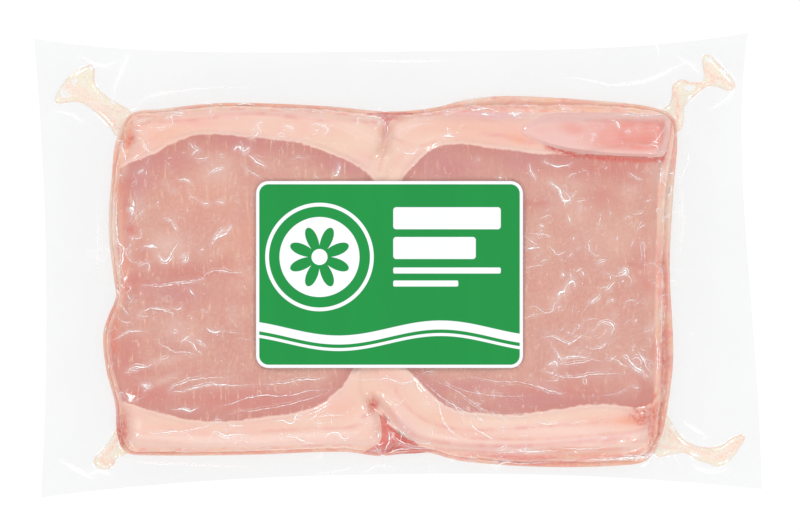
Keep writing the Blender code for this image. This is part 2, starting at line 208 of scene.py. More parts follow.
LABEL_BORDER = 1.3

# ---- what only the dressed pack has

FILM_GAP = 0.25
FOLD_LIFT = 0.3
SMALL_FOLD_LIFT = 0.16
PLEAT_LIFT = 0.45
SLACK_LIFT = 0.3
FOLD_STRAY = 3.0
SEAM_OVERLAP = 0.9
SEAM_DIP = 0.7
LEDGE_WANDER = 0.2
UPPER_BASE = 13.9
LOWER_TOP = 13.6
JUICE_BASE = 9.0
JUICE_GAP = 0.12
# How many points each steak's grid has along and across
LOWER_GRID = (110, 130)
UPPER_GRID = (150, 180)
FIELD_STEP = 0.6
FIELD_X = np.arange(-150, 150 + FIELD_STEP, FIELD_STEP)
FIELD_Y = np.arange(-98, 98 + FIELD_STEP, FIELD_STEP)

# Long folds pinched up in the film over each part of the meat, each a raised crest painted white as a
# highlight: brightness of that painted highlight, width, then each point's x and y
FAR_LEFT_FOLDS = (
    (1, 0.5, -83.6, 0.6, -79.4, 2.6, -73.4, 2.2, -70, 2.6, -66.4, 3.9, -62.6, 0, -57.2, -3.4),
    (0.9, 0.6, -74.8, 8, -72.6, 10.4, -68.6, 12.6, -66.6, 16.4),
    (0.8, 0.4, -75, 7.6, -73.6, 10.6, -70.4, 13.8, -67.8, 14.2, -66.6, 16.6),
    (1, 0.6, -96.2, 4.9, -94.7, 2.6, -92.8, 1.4, -90.2, 5.6, -87.2, 9.7),
    (1, 1.1, -102, 7.2, -98.6, 7.6, -96.2, 6.8), (0.9, 0.6, -87.4, 3, -85.4, 3.8, -84.8, 2.2, -86.6, 0.8),
    (0.8, 0.5, -90.4, 18, -89.4, 15.4, -88, 13.2), (0.5, 0.6, -94, 18.6, -91.6, 18.4, -89.8, 17.6),
    (0.8, 0.6, -79, 25.6, -77.4, 24.4, -75.2, 24.8), (0.7, 0.6, -73, 25.2, -71, 25.2, -69.4, 24.4),
    (0.8, 0.5, -89, 34.7, -86.2, 34.3, -84, 34, -82, 31.8),
    (0.5, 0.4, -83.6, 29.4, -82.4, 27.4, -81, 26.8, -79.4, 25),
    (0.9, 0.5, -83, 48.6, -81.6, 46.8, -79.6, 44.8), (0.6, 0.5, -81.6, 43.2, -78.6, 42.6, -75.4, 43.6),
    (1, 0.8, -65.6, 45.4, -64, 47, -61.8, 45.8, -59, 47.8), (0.6, 0.4, -63, 50, -61.8, 46, -62.2, 43.6),
    (0.9, 0.5, -61, 45, -58, 42.4, -54.6, 39.8, -52.4, 39.4),
    (0.6, 0.4, -62.6, 40.8, -61, 38.8, -58, 37, -53.8, 34.8),
    (0.7, 0.7, -76, 36.2, -74, 37.8, -71.4, 38.8, -69, 38.4),
    (0.5, 0.3, -44.2, 42.4, -39, 42.8, -35.4, 42.6),
    (0.9, 0.7, -24.3, 41.2, -23.2, 38.4, -25, 36, -26.2, 36.4),
    (0.8, 0.4, -36.2, 56, -31.4, 56.2, -28.2, 54.6, -30, 51.6),
    (0.8, 0.9, -44.8, 55.6, -43, 55.4, -41.4, 54.2), (0.7, 0.5, -56.4, 57, -55.8, 53, -60.6, 49.6),
    (0.6, 0.4, -53.4, 57.4, -58, 55.4), (0.8, 0.5, -104.6, 52, -102, 49.2, -99.8, 45.8, -97.4, 45),
    (0.6, 0.6, -96.6, 55.2, -94.6, 54.8, -92.6, 55.4),
    (0.8, 0.6, -16.6, 60, -12, 59.6, -6.4, 58.4, -4.2, 55, -5.4, 50.6),
    (0.9, 0.6, -91, 62, -88.4, 60.6, -84, 61),
    (0.9, 0.7, -112.2, 28, -112.4, 22, -112.4, 10, -109.9, 7, -110.4, 2, -111.4, -1, -111.3, -6),
    (1, 1, -107.8, 22, -106.4, 22.6, -106.8, 19), (0.9, 0.9, -105.8, 26.4, -105.6, 23),
    (0.6, 0.4, -108.4, 11.4, -105.4, 10.4, -102.6, 11.4, -103.4, 15.2),
    (0.6, 0.4, -105.4, 9.6, -108.6, 5.4, -106.8, 1.6, -103, 1),
    (0.5, 0.4, -106.6, 17, -103.6, 20, -101, 24.4),
    (0.7, 0.4, -78.4, -6, -75.6, -2.8, -70.2, -2.4, -65.6, -3.2, -61, -3),
    (0.8, 0.5, -104, -7.2, -96, -8.6, -88, -7.6, -81, -6.6, -77.5, -5.4),
)
NEAR_LEFT_FOLDS = (
    (0.8, 0.5, -104, -20.6, -101.6, -18.2, -98.6, -17.4, -94, -17.8, -90.4, -19.6, -90.6, -22.4),
    (0.7, 0.5, -104, -20.6, -99.4, -20.2),
    (0.7, 0.5, -116, -31, -111.6, -29, -107.8, -27, -104, -26.4, -99.2, -26.6),
    (0.8, 0.5, -96.2, -30.4, -93.2, -32.8, -88.6, -34.8, -84, -35, -80.8, -36),
    (1, 0.8, -86.8, -31, -84.8, -29, -82.8, -27.8), (0.7, 0.5, -84.4, -29.8, -81.6, -32.4, -78, -36.2),
    (0.8, 0.5, -81, -29.8, -78.6, -31, -76.2, -32.8), (0.9, 0.7, -77.2, -25, -73.4, -27, -70.2, -26.2),
    (0.5, 0.3, -70.2, -26.2, -66.4, -27, -62.6, -27.4), (0.4, 0.3, -65, -29, -61, -29.8, -57.2, -30),
    (1, 0.7, -107.8, -42, -105.4, -40.8, -102, -40.8, -98, -39.4), (0.6, 0.4, -107.8, -42.2, -103, -42),
    (0.9, 1.1, -102.4, -47.8, -100, -48.6, -98.8, -48.4),
    (0.8, 0.5, -91.6, -50.2, -88.6, -48.2, -82.4, -46, -76.2, -45.2, -65.6, -44.8),
    (0.9, 0.5, -91.6, -50.8, -86.4, -50.4, -79.4, -48.6, -73.4, -47.8, -65.6, -48.2, -55.8, -47.8),
    (0.8, 0.5, -55.8, -47.8, -47.4, -47.4, -39.6, -46.2, -32, -45.4, -29, -44.6),
    (0.8, 0.4, -73.4, -57, -67, -55.4, -61, -53.4, -55, -52.4, -42.8, -52, -35, -50.4, -25, -49.8),
    (0.6, 0.4, -70.2, -61, -64, -58.8, -55.8, -58, -47.4, -56.6, -39.6, -54.6, -31.2, -52.2, -25, -50),
    (0.9, 0.7, -91, -57.8, -86, -57.8, -83, -58.6, -79.8, -57),
    (0.8, 0.5, -100.4, -66.8, -96.2, -67.2, -91.6, -66.6, -87, -66.6, -79.4, -65.2, -73.2, -63.4),
    (0.8, 0.6, -74.8, -68.8, -73.2, -66.8, -68.8, -68.4, -64, -67.6, -60.2, -67.8),
    (0.9, 0.6, -50, -63, -45.8, -62, -42.8, -63.4, -40.4, -60, -38, -60.8),
    (0.7, 0.5, -32.8, -61, -27.4, -60, -20.4, -60), (0.5, 0.4, -36.6, -62.6, -33.4, -60.8, -24.4, -54.6),
    (0.9, 0.6, -30, -70, -27.4, -67.6, -23.6, -67.2, -22.4, -69.4, -18.2, -68),
    (0.8, 0.6, -45, -68.4, -41, -69.2, -36.6, -71, -32.6, -71.4),
    (0.7, 0.6, -68.8, -63, -65.6, -64.4, -61, -64.2), (0.8, 0.7, -8.4, -66, -7.6, -69.6),
    (0.8, 0.4, -5.5, -63.6, -3, -64, -0.4, -65.6, 2.4, -67.6, 4.8, -69.9),
    (1, 0.5, -4.3, -65.4, -3.7, -68.8, -4.1, -71.9, -5.6, -76),
    (0.8, 0.4, -3.7, -66, -1.9, -68.3, 1.3, -70.8, 7.4, -72.3, 12.4, -72.6),
    (1, 0.55, -5.9, -76.1, -1.2, -74.4, 3.1, -73.7, 8.2, -73),
    (0.8, 0.35, -6.4, -76, -9, -74.6, -11.6, -73.8), (0.7, 0.3, -6.4, -76, -8.4, -73.6, -9.4, -72),
    (0.6, 0.3, -6.2, -75.8, -7.2, -73.6, -7.6, -71.6), (0.7, 0.3, -3.4, -66.8, -2.2, -67.4, -2.8, -68.4),
    (0.7, 0.3, -2.4, -66.6, -1.6, -67.8, -3, -69.2), (0.7, 0.35, -13.8, -60.6, -12, -60, -9.9, -58.4),
    (1, 0.5, -79, 64.7, -76.4, 64.6, -74, 64.4), (0.9, 0.5, -71.8, 64.4, -70, 64.3),
    (1, 0.6, -66.4, 64.4, -61, 64.5, -56.8, 64), (0.8, 0.5, -53.8, 64, -51.8, 63.8),
    (0.9, 0.6, -110, 49.6, -110.4, 47, -109.2, 44, -108.8, 41),
    (0.8, 0.6, -111.6, 53, -112.6, 50.6, -110.4, 49.4), (0.7, 0.4, -106.4, 54.6, -104, 53.8, -101.4, 53.4),
    (0.8, 0.8, -113.6, -9, -112.2, -11, -111.6, -13.6), (0.6, 0.6, -113, -13, -109.4, -18, -107.6, -20),
)
FAR_RIGHT_FOLDS = (
    (0.8, 0.5, 52.8, 41.2, 53.2, 38.2, 54.4, 35.6, 55.4, 34.2),
    (1, 0.7, 60.4, 34, 62, 32, 64.4, 30.6, 65.8, 27.4, 67, 25.8, 68.6, 26.4, 66.4, 29.6),
    (0.8, 0.6, 57.4, 41.6, 60, 40.4, 63.6, 39.4, 68, 40, 70.2, 41.2),
    (0.6, 0.4, 67.4, 34.4, 69.6, 36.2, 71.6, 37), (0.6, 0.5, 71.2, 25.4, 75.4, 25.8),
    (1, 0.6, 50.5, 12.6, 54.4, 11.8, 58.2, 11.4, 61.4, 11, 60.4, 12.6),
    (1, 0.8, 50.5, 6.8, 53.6, 6.8, 56.8, 7), (0.6, 0.4, 51.4, 10.6, 54.4, 9, 55.6, 7.4),
    (0.7, 0.4, 59.8, 8, 61.4, 6.8, 63.6, 4.2, 66, 5, 68.2, 5.6),
    (1, 0.8, 88, -3.8, 90.2, -2, 91.2, -2.8, 89, -4.2), (0.9, 0.6, 66, -3, 66.4, -4.8),
    (0.9, 0.7, 69, -2.6, 69.4, -5.2), (0.8, 0.6, 74, -2.4, 74.4, -4.4),
    (0.6, 0.3, 96.6, 9.4, 98.4, 8.2, 98.8, 2, 98.6, -5.4), (0.8, 0.6, 105.6, 41.6, 105.2, 36, 104.8, 32),
    (0.9, 0.6, 108, 37.4, 109.6, 36.6, 111.2, 38), (0.7, 0.6, 108.6, 33, 109.6, 30, 108.4, 27.6, 109.4, 25),
    (0.6, 0.6, 106, 20, 107.6, 19.4, 106.4, 21.4), (0.6, 0.4, 31.4, 42.6, 33, 42),
    (0.8, 0.8, 40, 35.4, 41.6, 34.8), (0.8, 0.5, 1.6, 45.8, 3.8, 44.6, 6.4, 45, 8.4, 47.4),
    (0.5, 0.3, 0.8, 53.6, 5.4, 55.4, 10, 56.2, 15.4, 56.2), (0.8, 0.8, 17.6, 51.4, 20, 51.8, 23, 51.4),
    (0.9, 0.8, 28.4, 62.6, 31, 62.2, 34.6, 62.6, 39, 62.2), (1, 0.9, 33.2, 60.4, 37.4, 60.2),
    (1, 1, 44, 60.6, 47, 60.2, 49.8, 61.2), (0.7, 0.5, 50.2, 64.2, 53.6, 62.6),
    (0.9, 0.7, 64.4, 63.4, 67, 62.2, 69.6, 62.8), (0.9, 0.5, 84.4, 57.9, 87, 57.4, 88.2, 56, 88.6, 54.2),
    (0.6, 0.4, 80.6, 56.2, 82.6, 55.4), (0.7, 0.4, 90.6, 52.8, 92, 53.5, 93, 53),
    (0.8, 0.5, 84.8, 60.4, 90, 60.1, 97, 59.7, 103, 60.2, 108.4, 60.1), (0.6, 0.4, 77, 52.4, 79.6, 51.6),
    (0.7, 0.4, 96.6, 47.6, 100.6, 47.8, 103.6, 50.4, 106, 53.8, 108.4, 57),
    (0.6, 0.5, 92, 37.6, 95, 35.4, 98.6, 34), (0.6, 0.4, 92.6, 21, 97, 20.4, 98.6, 22),
)
NEAR_RIGHT_FOLDS = (
    (0.8, 0.6, 50.2, -17.6, 54.4, -16, 59, -18.2, 61.4, -17.6, 62.2, -15.2, 65, -13),
    (1, 0.9, 63.8, -13.6, 65, -11, 66.4, -10.6, 67, -8.6),
    (1, 0.7, 67, -9, 68.2, -7.4, 70.2, -6.8, 70.8, -9.2), (0.5, 0.4, 50.6, -21.2, 53.6, -20.2, 58.2, -19.8),
    (0.9, 0.6, 77.2, -15.2, 79, -13.4, 81.2, -11.6), (0.9, 0.5, 82.4, -10.8, 85, -8.6, 87, -6.4),
    (0.9, 0.5, 77.6, -26.8, 80.4, -24, 83.4, -22.8, 85.8, -24, 86.2, -26.4, 84.6, -29),
    (0.8, 0.5, 57, -29, 61.4, -28.6, 64.4, -29.8, 68.4, -31.6, 72.6, -29, 77, -26.2),
    (0.9, 0.5, 61.4, -32.4, 63.6, -35, 64.4, -37, 69.6, -36.8, 74.4, -37, 77.2, -35.8),
    (0.6, 0.4, 62, -38, 66, -39.8, 72.6, -39.2, 77.2, -37.8, 83.4, -39),
    (0.7, 0.5, 75.8, -33.2, 79.6, -33.6, 82, -32.8, 83.8, -30.4),
    (0.7, 0.5, 57.4, -42, 62, -43.6, 67.4, -45, 74.4, -44.6, 79, -43.4, 85, -43.6, 91, -43.6),
    (0.8, 0.5, 84.2, -36.6, 88, -38.4, 91.8, -41.2),
    (1, 0.8, 91, -35.8, 93.4, -39, 95.6, -41.2, 98, -42.6, 99, -45),
    (0.8, 0.5, 95.6, -34.2, 98, -38, 101, -43.6), (0.8, 0.5, 93, -38.2, 95.8, -37.2, 97.6, -41),
    (0.9, 0.8, 59.8, -40.4, 62.6, -38.8, 64.4, -40.6),
    (0.4, 0.4, 93.4, -47.6, 91, -50, 86.4, -51.4, 79, -52.8),
    (0.5, 0.4, 23.8, -45, 31.4, -45.2, 40.6, -46.6, 49.8, -47, 56, -48.8, 64.4, -51, 68, -51.2),
    (0.4, 0.4, 16, -46.6, 23, -49, 31.4, -51.2, 43.8, -52.4, 54.4, -52.4),
    (0.7, 0.6, 55, -47.8, 60, -50, 66, -52),
    (0.8, 0.4, 8.4, -44.4, 16, -52, 22, -56, 26.8, -58.8, 29, -59.8),
    (0.8, 0.4, 10, -47.2, 16, -55, 18.4, -62.6, 22, -66.6, 27, -70.2),
    (0.7, 0.4, 20.6, -53.4, 24.4, -58.8, 27.2, -64.2),
    (0.9, 0.5, 28.8, -61, 31.2, -65.8, 35, -68, 38.2, -69.6), (0.8, 0.5, 29.8, -58.8, 32, -61, 34.6, -62.6),
    (0.5, 0.4, 29.6, -53.8, 31.4, -56, 33.8, -59.6), (0.5, 0.4, 12.4, -45.2, 24, -50.8, 33, -57, 43, -61),
    (0.8, 0.4, -20, -45.2, -12, -46, -4, -45.6, 0.8, -47.2, 5.4, -46.4, 8.4, -44.4),
    (0.5, 0.4, 9, -43.6, 13, -42.6, 16, -42.8), (0.7, 0.6, 103, -26.6, 103.8, -36, 103.4, -45.8),
    (0.8, 0.5, 105, -12, 105.8, -20, 105.6, -26.4), (0.7, 0.9, 39, -75, 52, -74.6, 66, -74.2),
    (1, 1.3, 74, -78.1, 88, -77.6, 98, -77, 104.4, -75.6),
    (0.6, 0.5, 26.5, -77.2, 36, -78.5, 46, -79.3, 63.7, -78.9, 78, -78.1),
    (0.6, 0.5, 0.8, -71, 7, -73.4, 16, -72.6), (0.6, 0.5, 62, -73, 74, -73.6, 86, -72.6),
    (0.7, 0.6, 55, -62.6, 62, -63.6, 64, -62.8),
)
FLANGE_FOLDS = (
    (0.8, 0.8, -107, 86, -110, 80, -112.4, 74, -114.6, 66),
    (0.6, 0.7, -105, 65, -99, 67.6, -93, 69, -78, 70.8, -55, 71),
    (0.8, 0.8, 65, 75, 75, 74.4, 85, 72, 94, 72.4, 101, 74, 109, 78, 117, 82),
    (0.7, 0.6, 112, 84, 118, 79.6, 122, 76.6), (0.5, 0.5, -20, 82.4, 0, 81.4, 24, 82),
    (0.8, 0.8, -15, -84, -8, -80, 0, -82), (0.8, 0.7, 37, -82, 42, -79.4, 47, -78.6),
    (0.9, 0.9, -136, -78, -128, -83, -122, -86), (0.8, 0.8, -124, -84, -119, -82.4, -115, -84.6),
    (0.8, 0.6, -109.4, -78, -96, -79.6, -76, -80.6, -50, -81), (0.6, 0.6, -16, -80, -24, -82.6, -36, -84),
    (0.7, 0.7, 114, -62, 118, -66, 124, -68.6), (0.6, 0.6, 112, 40, 114, 20, 113, 0),
    (0.5, 0.6, -121, 30, -120.4, 10, -121, -8), (0.8, 0.8, 118, -80, 124, -83.4, 133, -82),
    (0.7, 0.7, 124, 62, 131, 66, 136, 71), (0.7, 0.7, -138, 62, -131, 60, -126, 57),
    (0.8, 0.8, 112.6, 33, 116, 41, 117, 48), (0.7, 0.6, -128, 84, -118, 80, -112, 82),
    (0.7, 0.6, 12, -80.4, 14, -84, 11, -86),
)
HAND_FOLDS = FAR_LEFT_FOLDS + NEAR_LEFT_FOLDS + FAR_RIGHT_FOLDS + NEAR_RIGHT_FOLDS + FLANGE_FOLDS

RIM_CRINKLES = 110
# Where short crinkles gather: x, y, spread along x and y, how many, their heading in degrees
CRINKLE_PATCHES = (
    (-107, 20, 4, 12, 18, 80), (-105, -2, 5, 8, 12, 40), (-100, 40, 9, 6, 8, 30), (-80, 36, 20, 10, 14, 60),
    (-70, 12, 14, 12, 10, 50), (-84, -24, 16, 9, 18, -20), (-100, -46, 9, 6, 6, 15),
    (-66, -64, 26, 4, 14, 8), (-55, 56, 40, 4, 18, 25), (-14, 54, 8, 5, 8, 60), (-45, -67, 40, 4, 26, 8),
    (-12, -63, 5, 6, 6, 70), (-112.6, -20, 2, 26, 18, 78), (-40, 40, 16, 5, 6, 10), (14, 53, 14, 4, 8, 70),
    (40, 61.4, 20, 1.4, 22, 4), (80, 30, 18, 8, 20, 60), (56, 10, 5, 8, 8, 10), (74, -4, 14, 9, 22, 50),
    (90, -14, 9, 12, 14, 50), (66, -22, 14, 8, 14, 30), (84, -36, 14, 8, 20, 35), (64, -42, 10, 6, 10, -30),
    (97, -38, 3, 8, 12, -55), (34, -52, 24, 4, 10, -25), (26, -60, 10, 6, 12, -50),
    (70, -68, 24, 5, 14, 10), (104.6, 20, 2, 26, 26, 88), (107, 40, 2, 10, 12, 80),
    (104, -22, 1.6, 24, 26, 86), (95, 52, 9, 5, 6, -40), (60, -77.4, 34, 1.2, 26, 3), (0, -70, 6, 4, 8, 60),
    (84, 18, 18, 10, 18, 70),
)

# Soft oval patches of other tones: x, y, radius along and across, strength, turned by degrees
TONE_PATCHES = {
    "blood": (
        (-107.2, 49.8, 1.8, 3, 0.75, -24), (-110.6, -66.6, 2.8, 7.6, 1), (-107.8, 47.4, 1.6, 1.3, 0.5),
        (97.4, -61.4, 5.8, 3, 0.6, -16), (101.4, -66.4, 1, 6.4, 0.7, 8), (100, -58.6, 4.6, 2.6, 0.6, 20),
        (104, -60, 2.6, 6, 0.16, 10), (54, -78.4, 19, 2.4, 0.48), (40, -77, 8, 1.6, 0.4),
        (-114, -32, 2.6, 13, 0.45), (107, -36, 2.4, 19, 0.3), (-92, -75.4, 12, 1, 0.3),
        (66, -73.4, 9, 0.9, 0.22), (100.2, -7.3, 2, 3.4, 0.3), (106, 0, 1.6, 4, 0.35),
        (-108.4, -8, 2.2, 5, 0.5), (-107.8, 3.4, 2.4, 6, 0.28), (102.6, -33, 1.2, 6, 0.25),
        (-112.4, -9, 1.6, 3, 0.3), (-20, 62.8, 22, 0.9, 0.25), (-1, -74.6, 7.5, 2.2, 0.6),
        (-112.2, -70, 1.6, 4, 0.5), (-9.9, -55.8, 1.9, 2.4, 1), (-5.4, 54, 0.9, 6, 0.35),
        (30, 63.4, 22, 0.9, 0.4), (0, 59.4, 4, 1.6, 0.5), (-10.6, -58.6, 2.6, 1.1, 0.45, 30),
        (-106.4, 14, 2.8, 2.8, 0.5), (-106.2, -6.4, 3.2, 4.2, 0.32), (-106.8, 33, 2, 2.6, 0.35),
        (70, -76.2, 22, 0.7, 0.3), (41, 66.4, 7, 1.2, 0.15),
    ),
    "rosy": (
        (-109.6, 26, 3, 13, 0.9), (-86, -2.6, 15, 4.4, 0.8), (-70, 0.6, 5, 3.4, 0.6),
        (-108, -38, 6, 12, 0.9), (-100, -52, 15, 4.4, 1), (-64, -54, 30, 5.4, 0.95),
        (76, -48, 22, 4.4, 0.5), (-90, -43, 16, 3, 0.3), (80, 38.6, 24, 4, 0.9), (82, 27, 7, 4, 0.6),
        (55, 24.6, 8, 1.6, 0.7), (62, -50, 18, 3.6, 0.8), (99, -46, 4, 8, 0.5), (98.6, 2, 5, 9, 0.8),
        (92, 34, 8, 6, 0.4), (-60, -14, 20, 4, 0.3), (106, -4, 2.4, 12, 0.8), (106.6, -38, 2.4, 13, 0.8),
        (-80, 57, 6, 1.6, 0.7), (-60, 60.4, 26, 1.3, 0.5), (34, 60.4, 15, 2.2, 1),
        (44, -76.4, 20, 1.6, 0.8), (-106, -60.5, 5, 1.4, 0.35), (12, 60.6, 10, 1.6, 0.5),
        (60, 63.6, 22, 1.6, 0.45), (-55, 0, 5, 3, 0.5), (-96, 38, 16, 6, 0.5, 25),
        (-66, 47, 16, 4, 0.55, -4), (98, -50, 5, 6, 0.6), (-104, -6, 5, 7, 0.5), (-102, 5, 3.6, 5, 0.6),
        (-103, -41, 6, 4, 1), (60, -79.8, 16, 1.8, 0.6), (-112.2, -70, 1.4, 3, 0.5),
    ),
    "mauve": (
        (-104, 34, 5.4, 8, 0.6, -25), (-90, 41, 12, 3.6, 0.5), (-60, 49.4, 12, 3, 0.6, -8),
        (-24, 40, 12, 4, 0.6), (-88, -11.6, 13, 4, 0.5), (20, 38.6, 12, 6, 0.9), (48, 41, 9, 4, 0.5),
        (54, -53.4, 16, 3.4, 0.8), (26, -48.6, 16, 3, 0.7), (-40, -52, 20, 5, 0.3), (74, -41, 16, 4, 0.35),
        (46, -72.6, 16, 1.8, 0.5), (36, 60.4, 14, 2, 0.8, -6), (4, -66, 3, 9, 0.6, 40),
    ),
    "pale": (
        (-72, 37, 9, 7, 0.5), (-90, 7, 9, 6, 0.55), (-94, -38.4, 9, 1.5, 0.6, 12),
        (-93, -46, 6, 1.3, 0.5, 25), (-88, -25, 9, 5, 0.35), (64, 34, 7, 4, 0.4), (65, -12, 6, 3, 0.5, 40),
        (78, -26, 12, 8, 0.3), (84, 10, 12, 9, 0.3), (71, 20, 6, 5, 0.4), (-61, -4.4, 6, 2, 0.5, -20),
        # (-103.7, -64) is a painted highlight on the left end of the fat roll
        (92, 30, 5, 3, 0.3), (-103.7, -64, 1, 2.2, 0.9), (-60, -70.8, 46, 1.8, 0.95),
        (92, -69.4, 9, 2.2, 0.8, 12), (68, -66.4, 30, 3, 0.8), (-12, -62, 5, 4, 0.6), (40, -63, 12, 3, 0.4),
        (99, -66.4, 0.9, 3, 0.6), (-111.6, 15, 1.4, 9, 0.7), (74, 44.9, 14, 1, 0.5, -8),
        (14, 50, 8, 3, 0.3), (101.8, 0, 2.2, 44, 0.45), (103.4, 34, 2.6, 8, 0.8), (102, 16, 1.6, 4, 0.7),
        (101.8, -14, 1.6, 4, 0.7), (101.4, -25, 1.8, 5, 0.9), (101.6, -44, 1.6, 4, 0.9),
        (-109.4, 38.4, 1.8, 3, 0.7),
    ),
    "warm": (
        (101.6, -2, 2.2, 42, 0.6), (104.6, 26, 1.8, 14, 0.6), (-113.6, -22, 2.4, 9, 0.9),
        (-110.4, 6, 1.4, 12, 0.35), (92, -62.6, 8, 2.2, 1), (104.6, -58.4, 3.2, 7, 1.3),
        (103.4, -67, 1.8, 6, 1), (48.8, 50.2, 7, 2, 0.9, -18), (28, 54, 18, 3.6, 0.3),
        (-56, -75.2, 50, 0.9, 0.7), (-46, 64.7, 40, 1, 1), (-20, -58, 10, 4, 0.25), (20, -61, 9, 3, 0.3),
        (84, -62, 12, 2.6, 0.35), (-78, 26, 16, 12, 0.35), (-60, 10, 12, 14, 0.35), (-96, -66, 12, 3, 0.2),
        (-95, 53, 11, 5, 0.4), (90, -79, 18, 1.4, 0.8), (84, 63.4, 20, 1, 0.5), (-109.4, -66, 1, 8, 0.5),
        (-110.2, 19, 2, 4.4, 0.8), (-110.4, 9, 1.6, 3.2, 0.6), (-109.4, -5.4, 1.8, 5, 0.7),
        (-109.6, 29, 1.6, 4.6, 0.5), (-112.6, 40, 1.4, 4, 0.8), (-108.6, 51.6, 2.6, 5, 1.2, -14),
        (-9, -50.5, 8, 3, 0.3), (66, -73.8, 9, 1.3, 1), (84, -73.8, 6, 1, 0.8), (-111.6, -70, 2, 4, 0.5),
        (80, -75.6, 16, 1, 0.6),
    ),
    "cream": (
        (-26, 47, 12, 5, 0.9), (-6, 40, 5, 8, 0.8), (-12, -50, 10, 5, 0.8), (-84, -61.6, 20, 2.6, 0.8),
        (14, 48, 12, 4, 0.6), (-36, -62, 18, 3, 0.5), (8, -50, 6, 6, 0.7), (44, -61, 26, 2.6, 0.7),
        (103.4, -20, 1.6, 6, 0.8), (103.4, -46, 1.2, 6, 0.6), (-70, 53, 16, 3, 0.4), (105, 19, 3, 9, 1),
        (104.8, 38, 1.6, 8, 0.6), (-111.2, 15, 1.6, 9, 0.6), (-111.6, 55, 2, 4, 0.5),
    ),
    # Film that stands clear of the sides
    "clear": (
        (-115.2, 14, 2.2, 15, 1.2), (-111.6, 54.6, 2.6, 5.4, 0.65, -24), (108.8, 26, 2.2, 16, 1.2),
        (109.4, -4, 1.4, 12, 0.5), (108.8, -50, 1, 8, 0.4), (86, 65, 18, 0.9, 0.6), (29, 66.6, 8, 1.2, 1),
        (-98, 62.4, 9, 1, 0.9), (-44, 65.6, 12, 0.7, 0.5), (-114.6, -56, 1.4, 6, 0.9),
        (104.4, -74, 2, 2, 0.7), (50, 66.8, 5, 0.9, 0.6), (-112.4, -13, 1, 3, 0.6),
        (10, -75.4, 10, 0.8, 0.4),
    ),
}
# Soft lines of those tones: width, strength, then each point's x and y
TONE_LINES = {
    "blood": (
        # The first line is painted shadow: a dark red line under the folded rind's lower edge
        (1.2, 1, 60, 47.4, 66, 45.4, 74, 43.8, 86, 42.6, 98, 42.2, 105.6, 42.4),
        (0.8, 0.6, 100.7, -64.6, 100.9, -69, 100.8, -73.4),
        (0.7, 0.8, 93, -59.6, 95.4, -61.6, 99.4, -61.4, 102.4, -58.6),
        (0.7, 0.7, 96, -63.8, 99.4, -63, 103, -60), (0.7, 0.8, 94.6, -57.4, 96.6, -59.6, 96, -63),
        (0.7, 0.8, 99, -56, 98.4, -60, 100.4, -64),
        (0.7, 0.65, 103, -52, 101.4, -56, 102.6, -61, 101.8, -66),
        (0.7, 0.7, 105.8, -55, 104.4, -61, 104.6, -68), (0.8, 0.6, 107.2, 45, 108.4, 51, 109.4, 57.6),
        (0.8, 0.5, -5.6, -60, -5.2, -65, -5.6, -71), (0.8, 0.5, -14, -60.6, -12, -60.2, -9.8, -58.4),
    ),
    # Pink seams that run along the rind fat
    "seam": (
        (0.8, 1, -100, 57, -83, 58, -71, 59.4, -55, 60.6, -45, 59.4, -33, 58, -9, 57.2),
        (0.7, 0.7, -54, -66.4, -46, -66, -34, -65.4, -22, -65.2, -12.6, -63.2),
        (0.7, 0.3, -102, -70.6, -76, -71.4, -40, -70.8, -18, -69.6),
        (0.7, 0.9, -1, -50, 4, -57, 12, -62.6, 26, -65.9, 42, -65.6, 57, -64.6, 84, -62.8),
        (0.9, 0.9, -3.6, -58, 2, -65, 12, -70, 34, -72.4, 60, -72, 92, -69.4),
        (0.7, 0.7, 30, -69.4, 60, -69.6, 90, -67), (0.7, 0.7, 20, -74, 50, -75.4, 92, -73.4),
        (0.7, 0.6, 84, -68, 92, -67, 99.6, -65.2), (0.7, 0.7, 78, -71.4, 90, -71, 100.4, -70.4),
        (0.7, 0.6, 16, 60.2, 34, 58.4, 44, 55.4, 50, 52.6, 56, 49.4),
        (0.9, 1, 33, 52.6, 44, 51.4, 53, 48.8), (0.7, 0.5, -2, 51, 8, 47.6, 18, 50.6, 30, 51),
        (0.7, 0.7, -106.6, 54.4, -98, 57.4, -88, 59.6), (0.7, 0.5, -4.4, 50, -7.6, 38),
        (1, 1, 49.6, 53, 54, 49.7, 58, 47.6, 64, 46),
    ),
    "rosy": (
        (0.8, 1, -103, -7.4, -92, -7.6, -82, -6.2, -77, -4.2, -71, -3.2, -62, -5),
        (0.8, 0.8, 58, -49.6, 66, -51, 72, -50.4, 80, -51.6), (0.7, 0.8, 44, 26, 52, 25.2, 62, 24),
        (0.7, 0.8, 92, 0.6, 96, -0.6, 104, -1.6), (0.8, 0.8, -86, -54, -70, -52.6, -50, -51),
    ),
    "warm": (
        (1.6, 1, -112, 32, -111.6, 20, -110.8, 10, -109.4, 0, -109.8, -8, -113, -20, -114, -34),
        (1, 0.8, -108.4, 44, -110.6, 38, -112, 32),
    ),
    "cream": (
        (1.1, 0.9, 106.8, -51.4, 102, -54.8, 97.4, -58.4),
        (1.4, 0.8, 8, -55, 20, -62.6, 40, -63.4, 62, -61.6, 84, -58.6),
    ),
    "pale": (
        (1, 0.7, -104, -68.8, -80, -69.4, -44, -68.6, -16, -67),
        (0.9, 0.7, 14, -68.2, 34, -70.8, 60, -70.4, 84, -68.2),
        (0.9, 0.6, 40, -73.6, 62, -72.8, 84, -71.8, 99, -71.6),
        (0.8, 0.6, -98, 60.4, -80, 62, -50, 62.6, -20, 60.8),
    ),
    "mauve": (
        (0.9, 0.8, 30, -71.8, 42, -72.8, 63.7, -70.6, 81.4, -69.6, 96, -67),
        (1.1, 0.7, 38, -77.4, 44, -77.6, 51, -77.4),
    ),
}
